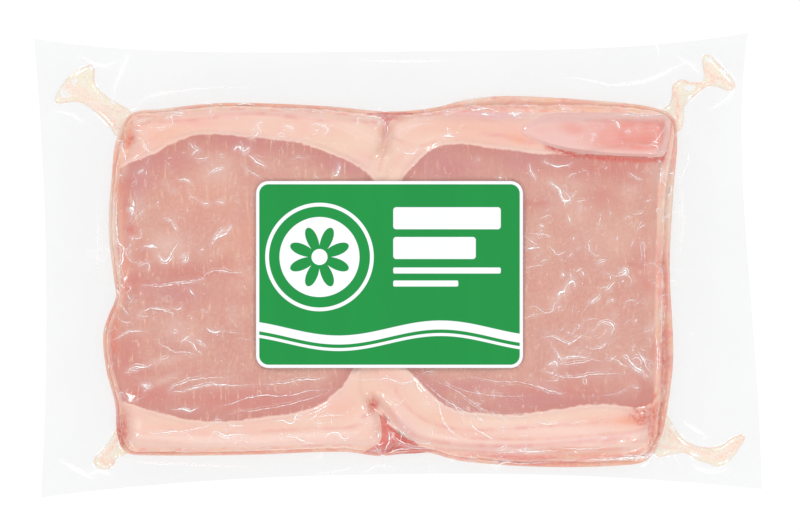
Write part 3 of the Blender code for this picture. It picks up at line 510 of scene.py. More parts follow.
# Where the film is milky over smooth meat, given as the patches of tone are
VEILS = (
    (-93, 8, 6.5, 5, 0.5), (-92.6, 33, 2.2, 2, 0.45), (-90, 29.6, 3, 1.6, 0.4), (-103.4, 23.4, 3, 5, 0.4),
    (-91, 19.6, 4, 2, 0.35), (-73, 38.6, 5, 4.4, 0.35), (-89, -25, 6, 4, 0.35), (-85, -29, 5, 3, 0.4),
    (-97, -38.4, 7, 1.2, 0.4, 12), (-93, -45.6, 6, 1.2, 0.35, 25), (-111, -52, 1.2, 1.2, 1),
    (-66, -19.4, 1.8, 4, 0.35), (72.9, 22.9, 1.4, 2.2, 0.5), (71.5, 31.6, 3.4, 3.6, 0.3),
    (79.4, 35.9, 1.2, 1.2, 0.4), (93, 30, 4, 3, 0.3), (62.8, 24.4, 5, 4, 0.3), (53.5, 9.9, 3, 4, 0.4),
    (72.2, 7, 1, 1.5, 0.5), (65, -11.7, 4.6, 2, 0.5, 50), (86.6, -19.7, 1.8, 1.4, 0.5),
    (77.3, -27, 7, 6, 0.25), (72.2, -34.8, 6, 2, 0.5), (61.4, -28.3, 5, 3, 0.35), (95.3, -37, 3, 4, 0.4),
    (84.5, -43.5, 7, 3, 0.35), (59, -48.4, 8, 1.8, 0.5, -18), (71.5, -49.2, 1.2, 1.2, 0.4),
    (36, 60.6, 14, 2.4, 0.45), (-62, 46, 4, 3, 0.4), (-90, 60.6, 5, 1.6, 0.4), (-36, -61, 10, 3, 0.3),
    (-30, -68, 14, 2.4, 0.35), (26, -60, 5, 7, 0.35, 30), (-9, -52, 5, 5, 0.3), (100.4, 38, 3, 4, 0.3),
)
# And where it stays clear however crowded its folds
CLEAR_FILM = (
    (1, -70, 12, 8, 1), (-10, -54, 4, 4, 0.6), (-2, 59, 7, 3, 0.5), (60, -78, 34, 2, 0.5),
    (-108.6, -7, 3, 7, 0.6), (-104, -40, 6, 3, 0.5), (-102, 5, 3, 4, 0.4),
)


def in_pairs(numbers):
    """A run of numbers as points: x and y, x and y."""
    return np.reshape(numbers, (-1, 2))


def smooth_line(points, steps=8, closed=False):
    """A smooth line through the points, which heads at each one from the last to the next."""
    knots = np.array(points, float)
    if closed:
        following, preceding = np.roll(knots, -1, axis=0), np.roll(knots, 1, axis=0)
    else:
        following = np.vstack([knots[1:], 2 * knots[-1:] - knots[-2:-1]])
        preceding = np.vstack([2 * knots[:1] - knots[1:2], knots[:-1]])
    heading = following - preceding
    heading /= np.linalg.norm(heading, axis=1, keepdims=True)
    arriving_heading = np.roll(heading, -1, axis=0)
    if not closed:
        knots, following, heading = knots[:-1], following[:-1], heading[:-1]
        arriving_heading = arriving_heading[:-1]
    span = np.linalg.norm(following - knots, axis=1)[:, None, None]
    t = np.linspace(0, 1, steps, endpoint=False)[None, :, None]
    curve = knots[:, None] * (2 * t**3 - 3 * t**2 + 1) + following[:, None] * (3 * t**2 - 2 * t**3)
    curve = curve + heading[:, None] * span * (t**3 - 2 * t**2 + t)
    curve = curve + arriving_heading[:, None] * span * (t**3 - t**2)
    curve = curve.reshape(-1, knots.shape[1])
    return curve if closed else np.vstack([curve, following[-1:]])


def along_segment(start, end, x, y):
    """How far along one segment, from 0 to 1, each point's nearest spot lies, and how far off it is."""
    run = np.subtract(end, start)
    share = ((x - start[0]) * run[0] + (y - start[1]) * run[1]) / (run @ run)
    share = np.clip(share, 0, 1)
    return share, np.hypot(x - start[0] - share * run[0], y - start[1] - share * run[1])


def distance_to_line(line, x, y):
    return np.min([along_segment(a, b, x, y)[1] for a, b in zip(line, line[1:])], axis=0)


@functools.lru_cache(maxsize=None)
def distance_field(outline):
    """The distance to a closed outline at each point of the field, positive inside it."""
    x, y = np.meshgrid(FIELD_X, FIELD_Y)
    curve = smooth_line(outline, steps=6, closed=True)
    nearest = np.full(x.shape, np.inf)
    inside = np.zeros(x.shape, bool)
    for (ax, ay), (bx, by) in zip(curve, np.roll(curve, -1, axis=0)):
        nearest = np.minimum(nearest, along_segment((ax, ay), (bx, by), x, y)[1])
        if ay != by:
            crossing = ax + (y - ay) * (bx - ax) / (by - ay)
            inside ^= ((ay > y) != (by > y)) & (x < crossing)
    return np.where(inside, nearest, -nearest)


def read_field(values, x, y):
    """The value of a field at any place, read between its points."""
    column = np.clip((x - FIELD_X[0]) / FIELD_STEP, 0, len(FIELD_X) - 1.001)
    row = np.clip((y - FIELD_Y[0]) / FIELD_STEP, 0, len(FIELD_Y) - 1.001)
    i, j = column.astype(int), row.astype(int)
    s, t = column - i, row - j
    near = values[j, i] * (1 - s) + values[j, i + 1] * s
    far = values[j + 1, i] * (1 - s) + values[j + 1, i + 1] * s
    return near * (1 - t) + far * t


def inside_distance(outline, x, y):
    return read_field(distance_field(outline), x, y)


def ease(t):
    t = np.clip(t, 0, 1)
    return t * t * (3 - 2 * t)


def quarter_round(t):
    """From 0 to 1, upright at the start and level at the end."""
    return np.sqrt(1 - (1 - np.clip(t, 0, 1)) ** 2)


def rolling(x, y, size, seed):
    """Smooth noise from -1 to 1 whose bumps are about size millimetres across, its own for each seed."""
    lattice = np.random.default_rng(seed).uniform(-1, 1, (97, 89))
    column, row = x / size + 700.3, y / size + 700.7
    i, j = np.floor(column).astype(int), np.floor(row).astype(int)
    s, t = ease(column - i), ease(row - j)
    a, b = i % 89, (i + 1) % 89
    near = lattice[j % 97, a] * (1 - s) + lattice[j % 97, b] * s
    far = lattice[(j + 1) % 97, a] * (1 - s) + lattice[(j + 1) % 97, b] * s
    return near * (1 - t) + far * t


def bowed_edge(share, start, end, bow, inward):
    """A point on a pouch edge, straight from start to end but for its bow."""
    depth, squareness, lean = bow
    pull = depth * (1 - np.abs(2 * share**lean - 1) ** squareness)
    x = start[0] + (end[0] - start[0]) * share + inward[0] * pull
    y = start[1] + (end[1] - start[1]) * share + inward[1] * pull
    return x, y


def pouch_plan(u, v):
    """The place, seen from above, of the point at shares u and v of the pouch's length and width."""
    c = CORNERS
    near = bowed_edge(u, c["near_left"], c["near_right"], BOWS["near"], (0, 1))
    far = bowed_edge(u, c["far_left"], c["far_right"], BOWS["far"], (0, -1))
    left = bowed_edge(v, c["near_left"], c["far_left"], BOWS["left"], (1, 0))
    right = bowed_edge(v, c["near_right"], c["far_right"], BOWS["right"], (-1, 0))
    place = []
    for axis in (0, 1):
        across = near[axis] * (1 - v) + far[axis] * v
        along = left[axis] * (1 - u) + right[axis] * u
        corners = (c["near_left"][axis] * (1 - u) + c["near_right"][axis] * u) * (1 - v)
        corners = corners + (c["far_left"][axis] * (1 - u) + c["far_right"][axis] * u) * v
        place.append(across + along - corners)
    return place


def pocket_thickness(depth):
    """Half the thickness of caught juice, at a depth inside its outline."""
    return POCKET_BULGE * quarter_round(depth / POCKET_ROUNDING)


def pocket_bulge(x, y):
    return np.max([pocket_thickness(inside_distance(p, x, y)) for p in POCKETS.values()], axis=0)


def flange_middle(x, y, outside):
    ripple = np.sin(x / 19 + y / 31) * np.cos(y / 23 - x / 47)
    return FLANGE_HEIGHT + FLANGE_WAVE * ripple * ease(outside / FLANGE_WAVE_FADE)


def wall_height(share):
    """The side of a stack, from the pouch's foot to the top steak's edge, over the lower steak's."""
    foot = FLANGE_HEIGHT + FOOT_RISE
    lower = (LEDGE_HEIGHT - foot) * quarter_round(share / LEDGE_SHARE)
    upper_share = (share - LEDGE_SHARE) / (1 - LEDGE_SHARE)
    return foot + lower + (SHOULDER_HEIGHT - LEDGE_HEIGHT) * quarter_round(upper_share)


def lean_distance(x, y):
    """The distance into the lean of either stack, negative in the fat."""
    return np.maximum(inside_distance(LEFT_LEAN, x, y), inside_distance(RIGHT_LEAN, x, y))


def steak_distance(x, y):
    return np.maximum(inside_distance(LEFT_STEAK, x, y), inside_distance(RIGHT_STEAK, x, y))


def steak_relief(x, y, with_flap):
    lean = lean_distance(x, y)
    relief = FAT_RISE * ease(-lean / FAT_SLOPE) - FAT_GROOVE * np.exp(-((lean / FAT_SLOPE) ** 2))
    for line, depth, width in HINGES:
        depth = depth * (0.1 + 0.9 * ease(outside_label(x, y) / 9))
        relief = relief - depth * np.exp(-((distance_to_line(line, x, y) / width) ** 2))
    if with_flap:
        softness = FLAP_EDGE + 3.0 * ease((y - 53) / 6)
        thickness = FLAP_THICKNESS * (0.3 + 0.7 * ease((x - 50) / 20))
        relief = relief + thickness * ease(inside_distance(FLAP, x, y) / softness)
    return relief + SWELL * np.sin(x / 17 + 1) * np.cos(y / 21 - x / 60)


def inside_bridge(y):
    """How far inside the bridged part of the seam a place is."""
    return np.minimum(y - BRIDGE_ENDS[0], BRIDGE_ENDS[1] - y)


def bridged(height, x, y):
    """The film and fat span the seam between the stacks, but for its two ends."""
    reach = ease(inside_bridge(y) / BRIDGE_FADE)
    reach = reach * ease((BRIDGE_HALF_WIDTH - distance_to_line(SEAM, x, y)) / BRIDGE_FADE)
    return height + reach * np.maximum(STACK_HEIGHT - BRIDGE_DROP - height, 0)


def label_under(x, y):
    """The height of the label's underside: it sags over the seam and ripples along its length."""
    sag = LABEL_SAG * np.exp(-(((x - LABEL_SAG_X) / LABEL_SAG_WIDTH) ** 2))
    fall = LABEL_FALL * ((x - LABEL_CENTRE[0]) / LABEL_LENGTH * 2) ** 4
    ripple = LABEL_WAVE * np.sin(2 * np.pi * x / LABEL_WAVE_LENGTH + y / 40)
    return LABEL_HEIGHT - sag - fall + ripple


def outside_label(x, y):
    off_x = np.maximum(np.abs(x - LABEL_CENTRE[0]) - LABEL_LENGTH / 2, 0)
    off_y = np.maximum(np.abs(y - LABEL_CENTRE[1]) - LABEL_WIDTH / 2, 0)
    return np.hypot(off_x, off_y)


def wall_share(x, y):
    """From 0 at the foot of a stack's side to 1 at its shoulder and on its top."""
    block = inside_distance(BLOCK, x, y)
    reach = np.maximum(block + np.maximum(-steak_distance(x, y), 0), LEAST_WALL)
    share = np.clip(block / reach, 0, 1)
    wander = 0.6 * rolling(x, y, 9, 23) + 0.4 * rolling(x, y, 3.4, 24)
    return share + LEDGE_WANDER * wander * np.sin(np.pi * share)


def top_height(x, y, with_flap=True):
    block = inside_distance(BLOCK, x, y)
    steak = steak_distance(x, y)
    flange = flange_middle(x, y, -block) + FLANGE_THICKNESS / 2

    tent = flange + FOOT_RISE * np.exp(np.minimum(block, 0) / TENT_REACH)
    wall = wall_height(wall_share(x, y))
    crown = (STACK_HEIGHT - SHOULDER_HEIGHT) * (1 - np.exp(-np.maximum(steak, 0) / SHOULDER_RADIUS))
    stack = wall + crown + steak_relief(x, y, with_flap) * ease(steak / SHOULDER_RADIUS)
    height = np.where(block > 0, bridged(stack, x, y), tent)
    height = np.maximum(height, flange + pocket_bulge(x, y))

    beyond = outside_label(x, y) - LABEL_MARGIN
    ceiling = label_under(x, y) - LABEL_CLEARANCE + LABEL_SKIRT_RISE * ease(beyond / LABEL_SKIRT)
    return np.where(beyond < LABEL_SKIRT, np.minimum(height, ceiling), height)


def bottom_height(x, y):
    """Flat where it rests, rounded up to the flange, and drawn up between the stacks."""
    block = inside_distance(BLOCK, x, y)
    flange = flange_middle(x, y, -block) - FLANGE_THICKNESS / 2
    foot = FLANGE_HEIGHT - FOOT_DROP
    under = foot * (1 - quarter_round(block / UNDER_RADIUS))
    seam = UNDER_SEAM_DEPTH * np.exp(-((distance_to_line(SEAM, x, y) / UNDER_SEAM_WIDTH) ** 2))
    tent = flange - (flange - foot) * np.exp(np.minimum(block, 0) / TENT_REACH)
    height = np.where(block > 0, np.maximum(under, seam), tent)
    return np.minimum(height, flange - pocket_bulge(x, y) * (block < 0))


def creases(x, y, size, width, seed):
    """Sharp-crested lines, from 1 at the crest to 0 beyond a width, that wind between blobs of a size."""
    return np.maximum(0, 1 - np.abs(rolling(x, y, size, seed)) / width)


def film_crinkle(x, y):
    """How far the film stands off what is under it, in folds, pleats and puckers."""
    block = inside_distance(BLOCK, x, y)
    strayed_x = x + FOLD_STRAY * rolling(x, y, 7, 11)
    strayed_y = y + FOLD_STRAY * rolling(x, y, 7, 12)
    folds = creases(strayed_x, strayed_y, 11, 0.16, 13) * ease(rolling(x, y, 16, 14) * 3)
    small = creases(strayed_y, strayed_x, 5.5, 0.24, 15) * ease(rolling(x, y, 9, 16) * 3 - 0.4)
    sideways = ease((np.abs(x) - 98) / 8)
    pleats = rolling(x * 0.3, y, 2.6, 17) * sideways + rolling(x, y * 0.3, 2.6, 18) * (1 - sideways)
    share = wall_share(x, y)
    on_wall = ease(share * 4) * ease((1 - share) * 4)
    slack = ease(-block / 12) * (0.5 + 0.5 * rolling(x * 0.5, y * 0.5, 9, 19))
    on_meat = ease(block / 4) * ease((outside_label(x, y) - 1) / 4)
    crinkle = on_meat * (FOLD_LIFT * folds + SMALL_FOLD_LIFT * small)
    crinkle = crinkle + PLEAT_LIFT * on_wall * np.maximum(pleats, 0)
    return crinkle + SLACK_LIFT * slack * (0.2 * folds + 0.4)


def film_front_height(x, y):
    return top_height(x, y) + film_crinkle(x, y)


def slack_film(x, y):
    """How far the film stands clear of the meat's sides, in patches."""
    share = wall_share(x, y)
    on_wall = ease(share * 3 + 0.3) * ease((1.02 - share) * 6) * (inside_distance(BLOCK, x, y) > -1)
    patches = ease(rolling(x, y, 6, 21) * 1.6 + 0.2) * 0.5
    return np.maximum(on_wall * patches, 0.6 * patched(TONE_PATCHES["clear"], x, y))


# ---- meshes


def thicken(sheet, depth):
    """Makes a flat sheet of faces a closed slab, with its underside a depth below."""
    pulled = bmesh.ops.extrude_face_region(sheet, geom=sheet.faces[:])["geom"]
    under = [part for part in pulled if isinstance(part, bmesh.types.BMVert)]
    bmesh.ops.translate(sheet, verts=under, vec=(0, 0, -depth))
    bmesh.ops.recalc_face_normals(sheet, faces=sheet.faces[:])


def read_points(mesh):
    flat = np.empty(len(mesh.vertices) * 3, np.float32)
    mesh.vertices.foreach_get("co", flat)
    return flat.reshape(-1, 3).astype(float).T


def grid_mesh(name, across, along, closed):
    """A flat grid, or a closed slab of it, with the grid column, row and side of each vertex."""
    sheet = bmesh.new()
    bmesh.ops.create_grid(sheet, x_segments=along - 1, y_segments=across - 1, size=0.5)
    if closed:
        thicken(sheet, 1)
    mesh = bpy.data.meshes.new(name)
    sheet.to_mesh(mesh)
    sheet.free()
    u, v, level = read_points(mesh)
    column = np.rint((u + 0.5) * (along - 1)).astype(int)
    row = np.rint((v + 0.5) * (across - 1)).astype(int)
    return mesh, column, row, level > -0.5


def set_points(mesh, x, y, z):
    mesh.vertices.foreach_set("co", (np.column_stack([x, y, z]) * MM).astype(np.float32).ravel())
    mesh.update()


def set_values(mesh, values):
    """Stores named numbers on the points, for the materials to read."""
    for name, numbers in values.items():
        layer = mesh.attributes.new(name, "FLOAT", "POINT")
        layer.data.foreach_set("value", np.asarray(numbers, np.float32))


def placed(name, mesh, material, stands_for="pouch", slot="wrapped_pork"):
    """Puts a finished mesh into the scene as a piece of the pack."""
    mesh.shade_smooth()
    mesh.materials.append(material)
    piece = bpy.data.objects.new(name, mesh)
    bpy.context.scene.collection.objects.link(piece)
    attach(piece, "root")
    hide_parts(stands_for)


def crowded(count, crowding):
    """Shares from 0 to 1 that lie closer together near both ends."""
    even = np.linspace(0, 1, count)
    return even - crowding * np.sin(2 * np.pi * even) / (2 * np.pi)


def stretched_grid(outline, corners, along, across, crowding=0.55):
    """The points of a grid stretched inside a closed outline between its four corners.

    The corners are near left, near right, far right and far left.
    """
    outline = np.asarray(outline, float)
    ahead = np.roll(outline, -1, axis=0)
    if np.sum(outline[:, 0] * ahead[:, 1] - ahead[:, 0] * outline[:, 1]) < 0:
        outline = outline[::-1]
    picks = [int(np.argmin(np.hypot(*(outline - corner).T))) for corner in corners]

    def side(first, last, shares):
        count = (last - first) % len(outline)
        run = outline[(first + np.arange(count + 1)) % len(outline)]
        travelled = np.concatenate([[0], np.cumsum(np.hypot(*np.diff(run, axis=0).T))])
        travelled /= travelled[-1]
        return np.column_stack([np.interp(shares, travelled, run[:, axis]) for axis in (0, 1)])

    u, v = crowded(along, crowding), crowded(across, crowding)
    near = side(picks[0], picks[1], u)
    right = side(picks[1], picks[2], v)
    far = side(picks[2], picks[3], 1 - u[::-1])[::-1]
    left = side(picks[3], picks[0], 1 - v[::-1])[::-1]
    places = []
    for axis in (0, 1):
        ruled = near[None, :, axis] * (1 - v[:, None]) + far[None, :, axis] * v[:, None]
        ruled = ruled + left[:, None, axis] * (1 - u[None, :]) + right[:, None, axis] * u[None, :]
        low = near[0, axis] * (1 - u) + near[-1, axis] * u
        high = far[0, axis] * (1 - u) + far[-1, axis] * u
        places.append(ruled - low[None, :] * (1 - v[:, None]) - high[None, :] * v[:, None])
    return places


def slab_piece(name, places, top, bottom, describe, material, *stands_for):
    """A closed slab over a stretched grid, with its top and bottom given as heights of x and y."""
    across, along = places[0].shape
    mesh, column, row, on_top = grid_mesh(name, across, along, closed=True)
    x, y = places[0][row, column], places[1][row, column]
    z = np.where(on_top, top(x, y), bottom(x, y))
    set_points(mesh, x, y, z)
    set_values(mesh, describe(x, y, on_top))
    placed(name, mesh, material, *stands_for)


def patched(patches, x, y):
    """How strongly soft oval patches cover each point."""
    cover = np.zeros(np.shape(x))
    for patch_x, patch_y, along, across, strength, *turn in patches:
        far_off = turned(x - patch_x, y - patch_y, *turn)
        far_off = (far_off[0] / along) ** 2 + (far_off[1] / across) ** 2
        cover = np.maximum(cover, strength * np.exp(-far_off))
    return cover


def turned(x, y, degrees=0):
    """An offset as seen along and across a direction."""
    turn = math.radians(degrees)
    return x * math.cos(turn) + y * math.sin(turn), y * math.cos(turn) - x * math.sin(turn)


def threaded(threads, x, y):
    """How strongly soft lines cover each point."""
    cover = np.zeros(np.shape(x))
    for width, strength, *places in threads:
        off = distance_to_line(smooth_line(in_pairs(places), steps=4), x, y)
        cover = np.maximum(cover, strength * np.exp(-((off / width) ** 2)))
    return cover


def pork_values(x, y, on_top):
    """What the pork's material reads at each point."""
    values = {"lean": lean_distance(x, y), "side": wall_share(x, y)}
    for tone in {**TONE_PATCHES, **TONE_LINES}:
        spots = patched(TONE_PATCHES.get(tone, ()), x, y)
        values[tone] = np.minimum(np.maximum(spots, threaded(TONE_LINES.get(tone, ()), x, y)), 1)
    return values


# ---- materials


def srgb(red, green, blue):
    """A colour given from 0 to 255, as linear light."""
    channels = [value / 255 for value in (red, green, blue)]
    return tuple(c / 12.92 if c <= 0.04045 else ((c + 0.055) / 1.055) ** 2.4 for c in channels)


class Bench:
    """Adds nodes to one tree. Each input is a plain value or another node's output."""

    def __init__(self, tree):
        self.tree = tree

    def add(self, kind, inputs, **settings):
        node = self.tree.nodes.new(kind)
        for name, value in settings.items():
            setattr(node, name, value)
        for name, value in inputs.items():
            if isinstance(value, bpy.types.NodeSocket):
                self.tree.links.new(value, node.inputs[name])
            elif node.inputs[name].type == "RGBA":
                node.inputs[name].default_value = (*value, 1.0)
            else:
                node.inputs[name].default_value = value
        return node

    def read(self, name):
        return self.add("ShaderNodeAttribute", {}, attribute_name=name).outputs["Fac"]

    def place(self):
        """The point's place in millimetres."""
        coordinates = self.add("ShaderNodeTexCoord", {}).outputs["Object"]
        return self.stretch(coordinates, (1 / MM, 1 / MM, 1 / MM))

    def stretch(self, vector, by):
        inputs = {0: vector, 1: by}
        return self.add("ShaderNodeVectorMath", inputs, operation="MULTIPLY").outputs[0]

    def shift(self, vector, by):
        return self.add("ShaderNodeVectorMath", {0: vector, 1: by}, operation="ADD").outputs[0]

    def split(self, vector):
        return self.add("ShaderNodeSeparateXYZ", {0: vector}).outputs

    def sums(self, operation, first, second=0.0, third=0.0):
        inputs = {0: first, 1: second, 2: third}
        return self.add("ShaderNodeMath", inputs, operation=operation).outputs[0]

    def times(self, first, second):
        return self.sums("MULTIPLY", first, second)

    def most(self, first, second):
        return self.sums("MAXIMUM", first, second)

    def least(self, first, second):
        return self.sums("MINIMUM", first, second)

    def fade(self, value, low, high, to_low=0.0, to_high=1.0):
        """A soft step of value, from to_low at low to to_high at high."""
        inputs = {"Value": value, "From Min": low, "From Max": high, "To Min": to_low, "To Max": to_high}
        return self.add("ShaderNodeMapRange", inputs, interpolation_type="SMOOTHSTEP").outputs[0]

    def band(self, value, rise, fall):
        """1 between a rise and a fall, each given as where it starts and ends, and 0 beyond them."""
        return self.times(self.fade(value, *rise), self.fade(value, *fall, 1.0, 0.0))

    def blend(self, share, first, second, how="MIX"):
        inputs = {0: share, 6: first, 7: second}
        return self.add("ShaderNodeMix", inputs, data_type="RGBA", blend_type=how).outputs[2]

    def layered(self, colour, *layers):
        """A colour with others laid over it in turn: each a share, a colour and perhaps a strength."""
        for share, above, *strength in layers:
            if strength:
                share = self.times(share, *strength)
            colour = self.blend(share, colour, above)
        return colour

    def noise(self, vector, scale, detail=2.0, roughness=0.5, distortion=0.0):
        inputs = {"Vector": vector, "Scale": scale, "Detail": detail, "Roughness": roughness}
        inputs["Distortion"] = distortion
        return self.add("ShaderNodeTexNoise", inputs).outputs["Fac"]

    def group(self, group, vector, **inputs):
        return self.add("ShaderNodeGroup", {"Vector": vector, **inputs}, node_tree=group).outputs

    def mottle(self, vector, size):
        return self.group(mottle_group(), vector, Size=size)

    def relief(self, height, strength, depth):
        inputs = {"Height": height, "Strength": strength, "Distance": depth * MM}
        return self.add("ShaderNodeBump", inputs).outputs[0]

    def shader(self, colour, roughness, **inputs):
        inputs = {name.replace("_", " "): value for name, value in inputs.items()}
        inputs.update({"Base Color": colour, "Roughness": roughness})
        return self.add("ShaderNodeBsdfPrincipled", inputs).outputs[0]

    def mixed(self, share, first, second):
        """One shader in another's place by a share."""
        return self.add("ShaderNodeMixShader", {0: share, 1: first, 2: second}).outputs[0]

    def cover(self, shader):
        """Makes a shader the material's surface."""
        self.add("ShaderNodeOutputMaterial", {"Surface": shader})


def new_material(name):
    """An empty material, and the bench to build it on."""
    material = bpy.data.materials.new(name)
    material.use_nodes = True
    material.node_tree.nodes.clear()
    return material, Bench(material.node_tree)


def shared_group(name, inputs, build):
    """A node group made once. Its inputs are vectors and numbers, with these defaults."""
    if name in bpy.data.node_groups:
        return bpy.data.node_groups[name]
    group = bpy.data.node_groups.new(name, "ShaderNodeTree")
    for label, value in inputs.items():
        kind = "NodeSocketVector" if isinstance(value, tuple) else "NodeSocketFloat"
        socket = group.interface.new_socket(name=label, in_out="INPUT", socket_type=kind)
        socket.default_value = value
    bench = Bench(group)
    made = build(bench, bench.add("NodeGroupInput", {}).outputs)
    for label in made:
        group.interface.new_socket(name=label, in_out="OUTPUT", socket_type="NodeSocketFloat")
    bench.add("NodeGroupOutput", made)
    return group


def streak_group():
    """Long thin streaks, as of muscle fibre or layers in fat."""

    def build(bench, given):
        bend = bench.times(bench.noise(given["Vector"], 0.05, 1.0), 6.0)
        bend = bench.add("ShaderNodeCombineXYZ", {"X": bend}).outputs[0]
        drifted = bench.shift(bench.stretch(given["Vector"], given["Fineness"]), bend)
        fine = bench.noise(drifted, 1.0, 3.0, 0.6)
        broad = bench.noise(drifted, 0.35, 2.0, 0.5)
        most = bench.sums("ADD", given["Least"], 0.2)
        return {"Streaks": bench.fade(fine, given["Least"], most), "Bands": bench.fade(broad, 0.35, 0.68)}

    inputs = {"Vector": (0, 0, 0), "Fineness": (1, 1, 1), "Least": 0.5}
    return shared_group("streaks", inputs, build)


def mottle_group():
    """Soft uneven patches of two sizes."""

    def build(bench, given):
        scale = bench.sums("DIVIDE", 1.0, given["Size"])
        finer = bench.times(scale, 4.3)
        broad = bench.noise(given["Vector"], scale, 2.0)
        fine = bench.noise(given["Vector"], finer, 3.0, 0.6)
        return {"Broad": bench.fade(broad, 0.34, 0.68), "Fine": bench.fade(fine, 0.34, 0.68)}

    return shared_group("mottle", {"Vector": (0, 0, 0), "Size": 20.0}, build)


def crinkle_group():
    """Hair-thin creases in film, as broken curling lines."""

    def build(bench, given):
        warp = bench.noise(given["Vector"], 0.16, 2.0)
        lines = bench.noise(given["Vector"], given["Scale"], 1.0, 0.5, 1.2)
        off_line = bench.sums("ABSOLUTE", bench.sums("SUBTRACT", lines, 0.5))
        crest = bench.fade(off_line, 0.0, given["Width"], 1.0, 0.0)
        here = bench.fade(warp, 0.52, 0.62)
        return {"Lines": bench.times(crest, here)}

    return shared_group("film creases", {"Vector": (0, 0, 0), "Scale": 0.2, "Width": 0.01}, build)


def wet_meat(bench, colour, height, mottle):
    """Closes a meat material: its colour, fine relief and an uneven damp sheen."""
    roughness = bench.fade(mottle, 0.0, 1.0, 0.34, 0.52)
    relief = bench.relief(height, 0.15, 0.4)
    bench.cover(bench.shader(colour, roughness, Normal=relief, Specular_IOR_Level=0.3))


def pork_material(colours):
    """Lean with fibres and flecks, creamy rind fat in layers, and pressed sides in bands."""
    material, bench = new_material("pork lean and rind fat")
    place = bench.place()
    lean = bench.read("lean")
    side = bench.read("side")
    tones = {tone: bench.read(tone) for tone in TONE_PATCHES}
    large = bench.mottle(place, 26.0)
    middling = bench.mottle(bench.shift(place, (140.0, 60.0, 0.0)), 13.0)
    small = bench.mottle(place, 6.0)

    ragged = bench.sums("SUBTRACT", bench.noise(place, 0.3, 4.0, 0.66), 0.5)
    wavy = bench.sums("SUBTRACT", bench.noise(place, 0.07, 1.0), 0.5)
    edge = bench.sums("MULTIPLY_ADD", ragged, 1.9, bench.sums("MULTIPLY_ADD", wavy, 1.6, lean))

    fibres = bench.group(streak_group(), place, Fineness=(0.8, 0.09, 0.3), Least=0.53)
    fibrous = bench.fade(middling["Fine"], 0.1, 0.9, 0.15, 0.9)
    fibrous = bench.times(fibrous, bench.fade(bench.split(place)["X"], -20.0, 20.0, 1.0, 0.55))
    fleck_place = bench.stretch(bench.shift(place, (31.0, 17.0, 0.0)), (1.0, 0.6, 1.0))
    flecks = bench.fade(bench.noise(fleck_place, 0.5, 2.0, 0.5, 1.4), 0.64, 0.74)
    lean_colour = bench.layered(
        colours.lean,
        (large["Broad"], colours.lean_warm, 0.7),
        (middling["Broad"], colours.lean_deep, 0.35),
        (small["Fine"], colours.lean_pale, 0.3),
        (bench.fade(lean, 0.0, 9.0, 0.95, 0.0), colours.lean_deep),
        (tones["rosy"], colours.lean_rosy),
        (tones["mauve"], colours.lean_mauve),
        (tones["warm"], colours.warm, 0.6),
        (tones["pale"], colours.lean_pale, 0.9),
        (fibres["Bands"], colours.lean_rosy, 0.12),
        (bench.times(fibres["Streaks"], fibrous), colours.lean_fibre),
        (flecks, colours.marbling, 0.5),
    )

    across_layers = bench.add("ShaderNodeCombineXYZ", {"X": lean}).outputs[0]
    layer_place = bench.shift(bench.stretch(place, (0.05, 0.02, 0.05)), across_layers)
    layers = bench.group(streak_group(), layer_place, Fineness=(0.7, 1.0, 1.0))
    seam = bench.times(bench.read("seam"), bench.fade(small["Broad"], 0.0, 1.0, 0.25, 0.9))
    silverskin = bench.band(edge, (-1.8, -0.5), (-0.5, 0.2))
    fat_colour = bench.layered(
        colours.fat,
        (large["Broad"], colours.fat_cream, 0.6),
        (middling["Broad"], colours.fat_rosy, 0.32),
        (layers["Streaks"], colours.fat_rosy, 0.32),
        (layers["Bands"], colours.fat_pale, 0.4),
        (tones["cream"], colours.fat_cream, 0.9),
        (tones["rosy"], colours.fat_rosy, 0.9),
        (tones["mauve"], colours.fat_mauve, 0.9),
        (tones["warm"], colours.warm, 0.8),
        (tones["pale"], colours.fat_pale, 0.8),
        (seam, colours.fat_seam),
        (silverskin, colours.fat_pale, 0.45),
    )

    drift = bench.sums("MULTIPLY_ADD", bench.noise(place, 0.12, 3.0), 2.0, side)
    bands = bench.sums("SINE", bench.times(drift, 17.0))
    blotches = bench.mottle(bench.shift(place, (20.0, 90.0, 0.0)), 8.0)["Broad"]
    # Painted light: a light band along the ledge where the lower steak meets the upper one, lifting the
    # shade in that crease
    ledge = bench.band(side, (0.34, 0.44), (0.46, 0.64))
    ledge = bench.times(ledge, bench.fade(bench.noise(place, 0.3, 2.0), 0.42, 0.58, 0.2, 1.0))
    side_colour = bench.layered(
        colours.side,
        (bench.fade(bands, -0.7, 0.8), colours.side_deep, 0.3),
        (middling["Broad"], colours.fat_pale, 0.5),
        (small["Fine"], colours.side_deep, 0.3),
        (bench.fade(blotches, 0.5, 0.8), colours.side_tan, 0.6),
        (bench.fade(blotches, 0.15, 0.45, 1.0, 0.0), colours.side_rosy, 0.5),
        (tones["rosy"], colours.side_rosy, 0.85),
        (tones["warm"], colours.warm, 0.8),
        (tones["cream"], colours.fat_cream, 0.9),
        (tones["clear"], colours.side_clear, 0.9),
        (ledge, colours.ledge_painted_light, 0.7),
    )

    # Blood, and the painted shadow line under the folded rind, laid over everything
    bloody = bench.times(tones["blood"], bench.fade(small["Fine"], 0.0, 1.0, 0.55, 1.2))
    colour = bench.layered(
        fat_colour,
        (bench.fade(edge, -0.45, 0.45), lean_colour),
        (bench.fade(side, 0.82, 0.97, 0.9, 0.0), side_colour),
        (bench.least(bloody, 1.0), colours.blood),
    )
    height = bench.sums("MULTIPLY_ADD", fibres["Streaks"], 0.5, bench.noise(place, 0.8, 3.0))
    wet_meat(bench, colour, height, small["Fine"])
    return material


